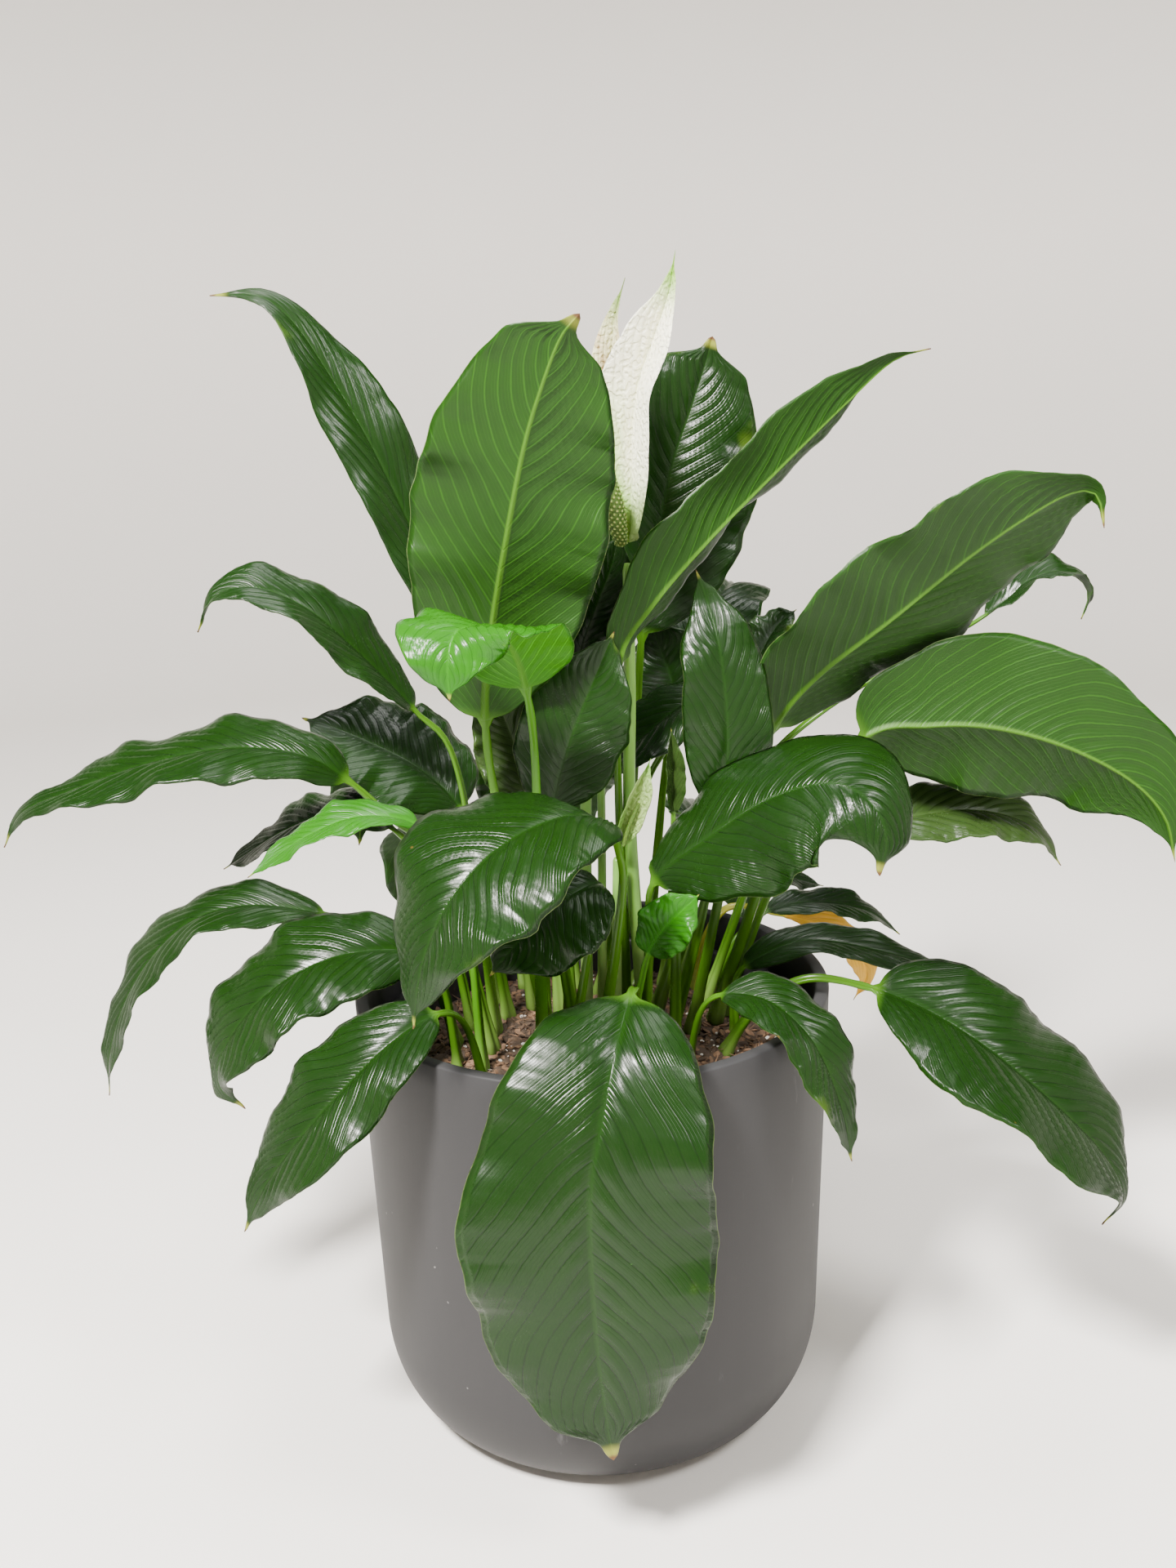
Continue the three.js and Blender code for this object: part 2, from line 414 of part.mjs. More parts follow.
function geometryOf(solid) {
  const mesh = solid.getMesh();
  const geometry = new THREE.BufferGeometry();
  geometry.setAttribute("position", new THREE.Float32BufferAttribute(mesh.vertProperties, 3));
  geometry.setIndex(new THREE.Uint32BufferAttribute(mesh.triVerts, 1));
  return geometry;
}

// The thin black pot that the plant was grown in, with drain holes low in its wall.
function nurseryGeometry() {
  const lip = NURSERY_RIM_Z - 6;
  let pot = solidOf(lathe([
    [0, nurseryFootZ],
    [NURSERY_FOOT_RADIUS, nurseryFootZ],
    [NURSERY_TOP_RADIUS, lip],
    [NURSERY_RIM_RADIUS, lip],
    [NURSERY_RIM_RADIUS, NURSERY_RIM_Z],
    [NURSERY_TOP_RADIUS - NURSERY_WALL, NURSERY_RIM_Z],
    [NURSERY_FOOT_RADIUS - NURSERY_WALL, nurseryFootZ + NURSERY_WALL],
    [0, nurseryFootZ + NURSERY_WALL],
  ]));
  for (let i = 0; i < DRAIN_HOLES; i += 1) {
    const hole = new THREE.CylinderGeometry(DRAIN_RADIUS, DRAIN_RADIUS, 30, 10)
      .rotateZ(Math.PI / 2)
      .translate(NURSERY_FOOT_RADIUS, 0, nurseryFootZ + DRAIN_RADIUS * 2)
      .rotateZ((i * 2 * Math.PI) / DRAIN_HOLES);
    pot = pot.subtract(solidOf(hole));
  }
  return geometryOf(pot);
}

// The inside radius of the nursery pot at a height.
function nurseryInside(z) {
  const rise = (z - nurseryFootZ - NURSERY_WALL) / (NURSERY_RIM_Z - nurseryFootZ - NURSERY_WALL);
  return THREE.MathUtils.lerp(NURSERY_FOOT_RADIUS, NURSERY_TOP_RADIUS, rise) - NURSERY_WALL;
}

const soilGeometry = () => lathe([
  [0, soilFootZ],
  [nurseryInside(soilFootZ) - GAP, soilFootZ],
  [nurseryInside(SOIL_TOP_Z) - GAP, SOIL_TOP_Z],
  [0, SOIL_TOP_Z],
]);

const plant = new THREE.Group();

function add(name, geometry, finish) {
  const { color, roughness } = FINISH[finish];
  const mesh = new THREE.Mesh(geometry, new THREE.MeshStandardMaterial({ color, roughness, metalness: 0 }));
  mesh.name = name;
  plant.add(mesh);
}

add("planter", planterGeometry(), "planter");
add("nursery_pot", nurseryGeometry(), "nursery");
add("potting_soil", soilGeometry(), "soil");
for (const leaf of LEAVES) {
  add(leaf.name, leafGeometry(leaf), leaf.finish ?? "deepLeaf");
}
for (const flower of FLOWERS) {
  add(`${flower.name}_stalk`, stalkGeometry(flower.stalk, flower.stalkRadius), "stalk");
  add(`${flower.name}_spathe`, spatheGeometry(flower), flower.finish);
  add(`${flower.name}_spadix`, spadixGeometry(flower), "spadix");
}

export default plant;
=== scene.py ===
"""A peace lily in its nursery pot, standing inside a round planter.

Sizes named at the top and in the tables are in millimetres, unless a comment there says otherwise. Meshes
are in metres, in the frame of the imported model. Each pot, each leaf and each part of a flower is one piece,
which stands for the node of the same name.
"""

import math
import random

import bmesh
import bpy
from bpy.props import FloatProperty, FloatVectorProperty, IntProperty, PointerProperty
from mathutils import Matrix, Vector


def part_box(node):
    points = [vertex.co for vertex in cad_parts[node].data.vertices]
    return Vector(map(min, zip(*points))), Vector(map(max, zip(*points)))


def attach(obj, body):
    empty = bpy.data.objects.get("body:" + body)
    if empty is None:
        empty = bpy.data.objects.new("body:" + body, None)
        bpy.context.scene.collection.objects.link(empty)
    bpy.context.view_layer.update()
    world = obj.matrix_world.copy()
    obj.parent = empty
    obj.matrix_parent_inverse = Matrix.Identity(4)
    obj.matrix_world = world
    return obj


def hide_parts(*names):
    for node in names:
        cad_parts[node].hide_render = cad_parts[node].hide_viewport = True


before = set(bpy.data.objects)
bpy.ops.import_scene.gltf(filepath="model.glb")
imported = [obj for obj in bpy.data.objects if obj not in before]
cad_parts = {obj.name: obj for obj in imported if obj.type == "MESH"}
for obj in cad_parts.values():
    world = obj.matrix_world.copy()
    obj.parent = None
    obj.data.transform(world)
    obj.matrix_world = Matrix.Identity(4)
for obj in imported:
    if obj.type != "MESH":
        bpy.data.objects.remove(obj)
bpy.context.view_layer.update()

bl_info = {
    "name": "Potted Peace Lily",
    "version": (1, 0, 0),
    "blender": (4, 5, 0),
    "location": "3D View > Sidebar > Peace Lily",
    "description": "Grows a peace lily in its nursery pot and planter",
    "category": "Add Mesh",
}

MM = 0.001
BODY = "root"

PLANTER_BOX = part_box("planter")
NURSERY_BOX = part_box("nursery_pot")
SOIL_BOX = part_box("potting_soil")
PLANTER_RADIUS = PLANTER_BOX[1][0] / MM
PLANTER_HEIGHT = PLANTER_BOX[1][2] / MM
NURSERY_RIM_RADIUS = NURSERY_BOX[1][0] / MM
NURSERY_RIM_Z = NURSERY_BOX[1][2] / MM
NURSERY_FOOT_Z = NURSERY_BOX[0][2] / MM
NURSERY_TOP_RADIUS = 130
NURSERY_FOOT_RADIUS = 100
NURSERY_WALL = 2.2
SOIL_TOP_Z = SOIL_BOX[1][2] / MM
SOIL_RADIUS = SOIL_BOX[1][0] / MM
STALK_START_Z = SOIL_TOP_Z - 6
LITTER_RADIUS = SOIL_RADIUS - 1  # the soil's surface inside the nursery pot

PETIOLE_ROWS = 0.22  # share of a leaf's rows that its petiole takes
ROUTE_POINTS = 72
SAMPLES_BETWEEN_POINTS = 24
BASE_POWER = 0.5  # how fast a blade widens from its base
USUAL_WIDEST = 0.42  # where along a blade it is widest
USUAL_TAIL = 0.42  # how much a blade narrows into its drip tip
LARGE_LEAF_WIDTH = 110  # a leaf this wide has full veins, waves and midrib

CAMERA_PLACE = (1.6, -942, 677)
CAMERA_PITCH = 15.58
CAMERA_ROLL = -1.81

# The stage: a flat floor of this radius, a bend of this radius, and a wall of this height and thickness
STAGE_FLAT = 2300.0
STAGE_BEND = 900.0
STAGE_HEIGHT = 2600.0
STAGE_WALL = 20
# The point every light is turned to, in metres
LIGHT_AIM = (0.0, 0.0, 0.38)
# Each light's name, its place and size in metres, the setting that holds its power, and its colour
LIGHTS = (
    ("key_light", (-0.7, -1.2, 2.0), 0.35, "key_power", (1.0, 0.97, 0.93)),
    ("fill_light", (1.0, -0.95, 1.8), 0.45, "fill_power", (1.0, 0.98, 0.95)),
    ("top_light", (0.2, 0.5, 2.2), 1.0, "fill_power", (1.0, 0.99, 0.97)),
)

GOLDEN_ANGLE = 2.39996  # in radians
LARGE_SPADIX_RADIUS = 6.5  # a spadix this wide has the full number of florets
LARGE_SPATHE_WIDTH = 84  # a spathe this wide has the full waves
LEAST_FLORETS = 60
# What every spathe has in common, as inputs of the leaf tree with lengths in metres
SPATHE_GROWTH = {
    "Petiole Share": 0.0, "Petiole Rows": 0.0001, "Rows": 120, "Around": 97, "Curl": math.radians(-10),
    "Waves": 2.0, "Vein Pairs": 9.0, "Vein Sweep": 0.45, "Relief": 0.0003, "Base Radius": 0.0012,
    "Rib Radius": 0.0014, "Thickness": 0.0008, "Tail": 0.55,
}
SPATHE_WAVE = 0.0016  # height of the waves along an edge, in metres
SPATHE_VEINS = (0.66, 0.68, 0.5)
# Colours of the other spathes: body, veins, flush of green, and how far brown stains show
SPATHE_FINISHES = {
    "aged_spathe": ((0.62, 0.6, 0.38), (0.45, 0.42, 0.2), (0.16, 0.26, 0.05), 0.9),
    "bright_leaf": ((0.32, 0.46, 0.14), (0.2, 0.36, 0.07), (0.14, 0.34, 0.04), 0.0),
}

# Colours of a leaf's upper side in shade and in light, its underside and its petiole
LEAF_FINISHES = {
    "leaf": {"upper": (0.0025, 0.0125, 0.0012), "upper_light": (0.0065, 0.027, 0.002),
             "under": (0.0065, 0.03, 0.0006), "petiole": (0.045, 0.13, 0.005)},
    "bright_leaf": {"upper": (0.01, 0.08, 0.002), "upper_light": (0.02, 0.13, 0.003),
                    "under": (0.025, 0.13, 0.002), "petiole": (0.06, 0.2, 0.008)},
    "olive_leaf": {"upper": (0.014, 0.032, 0.006), "upper_light": (0.028, 0.055, 0.012),
                   "under": (0.03, 0.062, 0.014), "petiole": (0.05, 0.13, 0.01)},
    "yellowed_leaf": {"upper": (0.42, 0.22, 0.015), "upper_light": (0.6, 0.34, 0.02),
                      "under": (0.5, 0.3, 0.04), "petiole": (0.3, 0.3, 0.03)},
}

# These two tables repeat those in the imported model's own source, and have to be changed with them.
# Every leaf: where its petiole leaves the soil and rises, the midrib of its blade from the petiole to the
# drip tip, the blade's full width, the way its upper side faces along the blade, and how steeply its halves
# rise from the midrib (fold) and bend on towards the edges (curl), both in degrees
LEAVES = [
    {"name": "arching_leaf_upper_left", "width": 54, "fold": 18, "curl": -20,
     "petiole": [(-38, 52), (-58, 72, 400)],
     "blade": [(-76, 80, 485), (-106, 88, 562), (-130, 92, 618), (-154, 96, 662), (-175, 98, 695),
               (-196, 99, 711), (-226, 100, 712)],
     "face": [(0.5, -0.8, 0.4), (0.4, -0.75, 0.5), (0.2, -0.5, 0.8)]},
    {"name": "broad_leaf_centre", "width": 112, "fold": 12, "curl": -12, "widest": 0.48, "tail": 0.1,
     "petiole": [(-25, -12), (-52, -18, 395)],
     "blade": [(-58, -27, 464), (-51, -38, 518), (-40, -52, 571), (-27, -68, 624), (-15, -79, 658),
               (-5, -86, 680), (5, -93, 691)],
     "face": [(0.1, 0.9, 0.3), (0.1, 0.9, 0.35)]},
    {"name": "upright_leaf_back_right", "width": 112, "fold": 16, "curl": -14, "widest": 0.5, "tail": 0.2,
     "petiole": [(18, 62), (34, 76, 420)],
     "blade": [(40, 85, 492), (51, 92, 548), (62, 98, 598), (76, 104, 636), (85, 108, 661),
               (90, 108, 678)],
     "face": [(0.1, -1, 0.3), (0.2, -1, 0.2)]},
    {"name": "diagonal_leaf_right", "width": 64, "fold": 36, "curl": -25,
     "petiole": [(22, 2), (20, -2, 425)],
     "blade": [(23, -8, 492), (44, -8, 526), (76, 0, 560), (114, 10, 595), (163, 20, 639), (190, 25, 661),
               (212, 26, 667)],
     "face": [(-0.5, 0.7, 0.5), (-0.5, 0.6, 0.6)]},
    {"name": "broad_leaf_upper_right", "width": 112, "fold": 10, "curl": -10,
     "petiole": [(62, 8), (98, 22, 395)],
     "blade": [(119, 20, 442), (144, 8, 476), (184, -10, 512), (228, -26, 552), (262, -38, 578),
               (280, -46, 588), (290, -52, 586), (294, -54, 568)],
     "face": [(-0.4, 0.8, 0.5), (-0.3, 0.8, 0.5), (0.3, 0.5, 0.8)]},
    {"name": "drooping_leaf_right", "width": 116, "fold": 24, "curl": -18, "widest": 0.36,
     "petiole": [(78, 25), (126, 25, 375)],
     "blade": [(175, 17, 434), (214, 10, 442), (252, 4, 441), (295, -2, 429), (334, -7, 408),
               (356, -10, 384), (364, -11, 355)],
     "face": [(0, 0.97, 0.25), (0.1, 0.95, 0.3), (0.35, 0.85, 0.35)]},
    {"name": "glossy_leaf_centre_right", "width": 102, "fold": -4, "curl": -30, "widest": 0.52,
     "petiole": [(30, -42), (35, -43, 325)],
     "blade": [(39, -47, 366), (70, -58, 396), (104, -71, 422), (136, -84, 434), (157, -95, 427),
               (166, -103, 408), (162, -108, 386)],
     "face": [(-0.4, -0.65, 0.65), (-0.15, -0.6, 0.75), (0.45, -0.75, 0.45)]},
    {"name": "small_leaf_far_right", "width": 30, "fold": 25, "curl": -10,
     "petiole": [(52, 48), (118, 70, 405)],
     "blade": [(264, 80, 498), (286, 82, 516), (306, 84, 524), (324, 85, 520), (332, 85, 508),
               (328, 85, 492)],
     "face": [(-0.2, -0.2, 1), (0.5, -0.2, 0.8), (1, -0.2, 0.2)]},
    {"name": "dark_leaf_far_right", "width": 84, "fold": 15, "curl": -20,
     "petiole": [(72, 52), (130, 62, 372)],
     "blade": [(208, 75, 404), (262, 80, 415), (315, 84, 420), (356, 86, 412), (386, 88, 390)],
     "face": [(-0.1, -0.1, 1), (0.3, -0.2, 1)]},
    {"name": "olive_leaf_right", "width": 50, "fold": 12, "curl": -20, "finish": "olive_leaf",
     "petiole": [(85, 40), (130, 46, 345)],
     "blade": [(180, 50, 362), (220, 55, 371), (260, 60, 371), (296, 62, 358), (316, 62, 330)],
     "face": [(0, -0.5, 0.9), (0.4, -0.5, 0.7)]},
    {"name": "glossy_leaf_lower_right", "width": 98, "fold": 16, "curl": -24,
     "petiole": [(80, -20), (100, -28, 272), (132, -36, 296)],
     "blade": [(174, -45, 291), (205, -55, 280), (241, -70, 258), (285, -85, 220), (308, -90, 192),
               (315, -92, 170), (304, -92, 153)],
     "face": [(0.1, -0.6, 0.8), (0.4, -0.5, 0.75), (0.8, -0.5, 0.4)]},
    {"name": "small_leaf_rim_right", "width": 46, "fold": 14, "curl": -20,
     "petiole": [(55, -62), (62, -72, 288)],
     "blade": [(76, -80, 306), (102, -96, 308), (125, -114, 290), (139, -124, 256), (146, -126, 220)],
     "face": [(0.3, -0.5, 0.8), (0.7, -0.7, 0.3)]},
    {"name": "arching_leaf_right_back", "width": 28, "fold": 14, "curl": -20,
     "petiole": [(80, 66), (96, 72, 276)],
     "blade": [(122, 82, 297), (158, 92, 299), (194, 100, 288), (218, 104, 268)],
     "face": [(0, -0.4, 0.9), (0.3, -0.4, 0.9)]},
    {"name": "arching_leaf_right_front", "width": 32, "fold": 14, "curl": -20, "widest": 0.32,
     "petiole": [(92, 8), (92, 11, 266)],
     "blade": [(99, 15, 284), (139, 20, 299), (190, 24, 288), (228, 26, 272), (254, 26, 246)],
     "face": [(0, -0.4, 0.9), (0.3, -0.4, 0.9)]},
    {"name": "yellowed_leaf", "width": 26, "fold": 20, "curl": 0, "finish": "yellowed_leaf",
     "petiole": [(66, 84), (92, 96, 293)],
     "blade": [(136, 108, 284), (168, 113, 272), (188, 116, 253), (197, 117, 233), (188, 116, 214)],
     "face": [(0, -0.5, 0.85), (0.2, -0.9, 0.2)]},
    {"name": "front_drooping_leaf", "width": 134, "fold": 10, "curl": -22, "widest": 0.5, "tail": 0.25,
     "petiole": [(18, -78), (22, -96, 300), (25, -112, 324)],
     "blade": [(21, -130, 328), (12, -163, 312), (3, -184, 280), (-4, -194, 248), (-5, -199, 208),
               (-3, -201, 152), (1, -200, 106), (4, -199, 82)],
     "face": [(0, -0.5, 0.85), (0, -0.9, 0.3), (0, -1, 0)]},
    {"name": "glossy_leaf_front_left", "width": 104, "fold": 10, "curl": -26, "widest": 0.38,
     "petiole": [(0, -60), (19, -70, 360), (18, -78, 396)],
     "blade": [(9, -95, 419), (-14, -114, 428), (-46, -134, 419), (-71, -148, 398), (-88, -157, 366),
               (-96, -160, 326)],
     "face": [(0.3, 0.2, 0.9), (-0.3, -0.6, 0.75), (-0.75, -0.6, 0.25)]},
    {"name": "shaded_leaf_front_left", "width": 76, "fold": 8, "curl": -20,
     "petiole": [(-18, -68), (2, -66, 345)],
     "blade": [(8, -67, 372), (-12, -80, 370), (-36, -92, 353), (-58, -99, 330)],
     "face": [(0.5, 0, 0.9), (-0.3, -0.7, 0.7), (-0.4, -0.8, 0.5)]},
    {"name": "long_leaf_left", "width": 66, "fold": 12, "curl": -28,
     "petiole": [(-62, -12), (-88, -17, 365), (-120, -20, 404)],
     "blade": [(-143, -22, 428), (-170, -22, 445), (-212, -22, 450), (-262, -22, 442), (-308, -22, 427),
               (-340, -22, 414), (-354, -22, 392)],
     "face": [(0.3, -0.5, 0.8), (-0.1, -0.3, 1), (-0.3, -0.3, 0.9)]},
    {"name": "dark_leaf_back_left", "width": 92, "fold": 12, "curl": -20,
     "petiole": [(-55, 40), (-70, 41, 345)],
     "blade": [(-82, 45, 388), (-107, 52, 414), (-140, 59, 431), (-168, 65, 442), (-184, 69, 446)],
     "face": [(0.4, -0.5, 0.8), (0, -0.5, 0.9)]},
    {"name": "arching_leaf_left", "width": 52, "fold": 18, "curl": -20,
     "petiole": [(-62, 14), (-78, 12, 418)],
     "blade": [(-104, 10, 463), (-139, 5, 505), (-165, 0, 530), (-192, -5, 543), (-215, -9, 539),
               (-227, -10, 518)],
     "face": [(0.6, -0.4, 0.7), (0.1, -0.4, 0.9), (-0.7, -0.3, 0.6)]},
    {"name": "small_leaf_left", "width": 34, "fold": 16, "curl": -20, "finish": "bright_leaf",
     "petiole": [(-68, -38), (-76, -40, 375)],
     "blade": [(-100, -42, 404), (-132, -46, 412), (-165, -52, 402), (-200, -58, 380)],
     "face": [(0, -0.3, 1), (-0.3, -0.3, 0.9)]},
    {"name": "dark_leaf_left", "width": 66, "fold": 12, "curl": -20,
     "petiole": [(-78, 25), (-97, 29, 340)],
     "blade": [(-126, 35, 380), (-155, 40, 391), (-194, 46, 378), (-240, 50, 350)],
     "face": [(0, -0.2, 1), (-0.3, -0.2, 0.9)]},
    {"name": "twisted_leaf_left", "width": 52, "fold": 15, "curl": -25,
     "petiole": [(-86, 4), (-105, 0, 300), (-138, -5, 326)],
     "blade": [(-166, -8, 338), (-208, -10, 346), (-244, -14, 340), (-271, -18, 319), (-291, -22, 290),
               (-304, -24, 256), (-308, -24, 226)],
     "face": [(0.2, -0.3, 0.9), (-0.4, -0.3, 0.9), (-0.8, -0.6, 0.1)]},
    {"name": "leaf_lower_left", "width": 78, "fold": 12, "curl": -24,
     "petiole": [(-84, -28), (-90, -40, 300)],
     "blade": [(-104, -48, 325), (-135, -58, 332), (-167, -66, 326), (-197, -72, 308), (-219, -76, 280),
               (-224, -76, 256), (-210, -76, 240)],
     "face": [(0, -0.5, 0.85), (-0.3, -0.5, 0.8), (-0.8, -0.5, 0.3)]},
    {"name": "glossy_leaf_lower_left", "width": 68, "fold": 14, "curl": -24,
     "petiole": [(-64, -66), (-74, -82, 292)],
     "blade": [(-90, -100, 308), (-118, -116, 296), (-143, -125, 274), (-167, -130, 249),
               (-189, -131, 220), (-204, -131, 190)],
     "face": [(-0.1, -0.6, 0.8), (-0.5, -0.6, 0.6), (-0.7, -0.6, 0.4)]},
    {"name": "curled_bright_leaf", "width": 82, "fold": 12, "curl": -20, "tail": 0.3, "finish": "bright_leaf",
     "petiole": [(-32, -40), (-29, -46, 400), (-29, -56, 460)],
     "blade": [(-32, -64, 490), (-38, -74, 514), (-51, -88, 529), (-66, -103, 530), (-71, -112, 515),
               (-71, -112, 494)],
     "face": [(0, 0.8, 0.5), (0.2, 0.2, 1), (-0.2, -0.9, 0.3)]},
    {"name": "olive_leaf_centre_left", "width": 52, "fold": 14, "curl": -14, "finish": "olive_leaf",
     "petiole": [(-30, 6), (-31, 4, 340)],
     "blade": [(-34, 0, 400), (-41, -2, 435), (-50, -4, 464), (-58, -4, 486)],
     "face": [(0.2, -1, 0.2)]},
    {"name": "dark_leaf_centre", "width": 66, "fold": 16, "curl": -16,
     "petiole": [(-8, -32), (-22, -24, 355)],
     "blade": [(-20, -20, 405), (-8, -18, 448), (8, -16, 485), (20, -16, 512)],
     "face": [(-0.1, -1, 0.2)]},
    {"name": "small_upright_leaf", "width": 42, "fold": 20, "curl": -14,
     "petiole": [(-14, 20), (-16, 22, 420)],
     "blade": [(-2, 24, 488), (9, 24, 518), (20, 24, 545), (25, 24, 566)],
     "face": [(-0.1, -1, 0.1)]},
    {"name": "upright_leaf_centre_right", "width": 54, "fold": 14, "curl": -26,
     "petiole": [(46, -16), (73, -15, 345)],
     "blade": [(82, -17, 398), (86, -18, 446), (83, -10, 495), (76, 4, 526), (70, 6, 544)],
     "face": [(0, -1, 0.2), (0.1, -1, 0.2)]},
    {"name": "small_leaf_back_right", "width": 34, "fold": 18, "curl": -14,
     "petiole": [(38, 30), (102, 50, 425)],
     "blade": [(114, 70, 472), (127, 78, 494), (141, 82, 505)],
     "face": [(-0.3, -0.6, 0.8)]},
    {"name": "grey_leaf_back_centre", "width": 74, "fold": 14, "curl": -14,
     "petiole": [(4, 72), (36, 94, 372)],
     "blade": [(58, 98, 418), (61, 104, 450), (52, 109, 480), (45, 112, 496)],
     "face": [(0.1, -1, 0.3)]},
    {"name": "dark_leaf_back_centre", "width": 52, "fold": 12, "curl": -20,
     "petiole": [(54, 70), (92, 73, 395)],
     "blade": [(94, 70, 446), (68, 56, 452), (28, 48, 424), (-14, 42, 396)],
     "face": [(0.4, -0.2, 0.9), (-0.1, -0.4, 0.9)]},
    {"name": "rolled_olive_leaf", "width": 24, "fold": 50, "curl": 20, "finish": "olive_leaf",
     "petiole": [(50, -40), (53, -29, 345)],
     "blade": [(53, -14, 398), (54, -10, 422), (53, -8, 450)],
     "face": [(0.1, -1, 0.1)]},
    {"name": "small_bright_leaf", "width": 34, "fold": 16, "curl": -14, "finish": "bright_leaf",
     "petiole": [(10, -66), (28, -68, 305)],
     "blade": [(34, -69, 328), (47, -74, 350), (64, -78, 368)],
     "face": [(-0.2, -0.9, 0.4)]},
    {"name": "leaf_back_rim", "width": 34, "fold": 12, "curl": -20,
     "petiole": [(24, 94), (60, 116, 286)],
     "blade": [(94, 128, 300), (130, 138, 304), (170, 144, 292)],
     "face": [(0, -0.3, 1)]},
    {"name": "back_leaf_centre", "width": 104, "fold": 12, "curl": -22,
     "petiole": [(-12, 90), (-15, 112, 330)],
     "blade": [(-20, 130, 368), (-25, 170, 385), (-30, 215, 370), (-35, 258, 322), (-38, 280, 272),
               (-38, 286, 240)],
     "face": [(0, 0.1, 1), (0, 0.6, 0.8), (0, 1, 0.1)]},
    {"name": "back_leaf_low_right", "width": 88, "fold": 12, "curl": -22,
     "petiole": [(50, 88), (62, 124, 322)],
     "blade": [(74, 164, 342), (92, 205, 338), (111, 244, 301), (124, 273, 246), (130, 284, 202)],
     "face": [(0.1, 0.2, 1), (0.4, 0.7, 0.6), (0.4, 0.9, 0.1)]},
    {"name": "back_leaf_low_left", "width": 92, "fold": 12, "curl": -22,
     "petiole": [(-45, 94), (-65, 130, 318)],
     "blade": [(-75, 150, 345), (-95, 190, 346), (-115, 230, 312), (-129, 260, 258), (-135, 274, 214)],
     "face": [(-0.1, 0.2, 1), (-0.4, 0.7, 0.6), (-0.4, 0.9, 0.1)]},
    {"name": "back_leaf_upper_left", "width": 78, "fold": 16, "curl": -18,
     "petiole": [(-20, 42), (-34, 88, 415)],
     "blade": [(-42, 106, 468), (-52, 130, 530), (-62, 160, 578), (-70, 190, 598), (-76, 214, 590),
               (-78, 225, 570)],
     "face": [(0, -0.8, 0.5), (-0.1, -0.4, 0.9), (0, 0.3, 1)]},
    {"name": "back_leaf_upper_right", "width": 76, "fold": 14, "curl": -20,
     "petiole": [(34, 50), (55, 108, 395)],
     "blade": [(65, 125, 430), (84, 160, 478), (103, 195, 502), (118, 225, 500), (128, 246, 480)],
     "face": [(0, -0.6, 0.7), (0.1, -0.2, 1), (0.2, 0.4, 1)]},
    {"name": "back_leaf_mid_left", "width": 80, "fold": 12, "curl": -22,
     "petiole": [(-64, 66), (-88, 110, 348)],
     "blade": [(-104, 134, 375), (-130, 166, 386), (-155, 200, 370), (-172, 225, 336), (-178, 235, 305)],
     "face": [(-0.1, 0.1, 1), (-0.4, 0.3, 0.9), (-0.8, 0.6, 0.3)]},
]

# Every flower: its stalk, its spathe, which is a blade folded up round the spadix, and the spadix
FLOWERS = [
    {"name": "open_flower", "finish": "white_spathe", "stalk_radius": 3.6,
     "spathe_width": 50, "spathe_fold": 50, "spadix_radius": 6,
     "stalk": [(34, -6), (27, 0, 380), (29, 8, 470), (30, 12, 548)],
     "spathe": [(31, 15, 560), (33, 20, 590), (34, 22, 620), (38, 21, 650), (48, 17, 678), (57, 12, 703),
               (61, 9, 726)],
     "face": [(-0.3, -0.95, 0), (-0.45, -0.9, 0), (-0.25, -0.97, 0)],
     "spadix": [(26, 8, 560), (22, -2, 585), (19, -4, 604)]},
    {"name": "aged_flower", "finish": "aged_spathe", "stalk_radius": 3.2,
     "spathe_width": 32, "spathe_fold": 46, "spadix_radius": 4,
     "stalk": [(-4, 6), (0, 18, 400), (6, 36, 500), (8, 40, 548)],
     "spathe": [(10, 42, 558), (15, 46, 592), (20, 47, 630), (23, 46, 662), (26, 45, 688), (33, 44, 713)],
     "face": [(0.3, -1, 0), (0.1, -1, 0), (-0.7, -0.7, 0)],
     "spadix": [(8, 34, 560), (8, 30, 580), (9, 30, 594)]},
    {"name": "spathe_bud", "finish": "bright_leaf", "stalk_radius": 2.8,
     "spathe_width": 26, "spathe_fold": 56, "spadix_radius": 1.8,
     "stalk": [(14, -24), (17, -20, 340), (18, -18, 372)],
     "spathe": [(18, -18, 380), (24, -18, 400), (32, -18, 418), (40, -18, 434)],
     "face": [(0.4, -0.9, 0)],
     "spadix": [(22, -23.5, 381), (26, -24, 394), (32, -24, 408)]},
    {"name": "young_flower", "finish": "bright_leaf", "stalk_radius": 2.6,
     "spathe_width": 34, "spathe_fold": 44, "spadix_radius": 2.4,
     "stalk": [(6, 24), (9, 20, 360), (10, 18, 418)],
     "spathe": [(10, 18, 426), (10, 20, 446), (10, 21, 462), (11, 21, 482)],
     "face": [(0.2, -1, 0)],
     "spadix": [(9, 12, 428), (8, 10, 440), (8, 10, 452)]},
]


# ---------------------------------------------------------------- node trees written as formulas


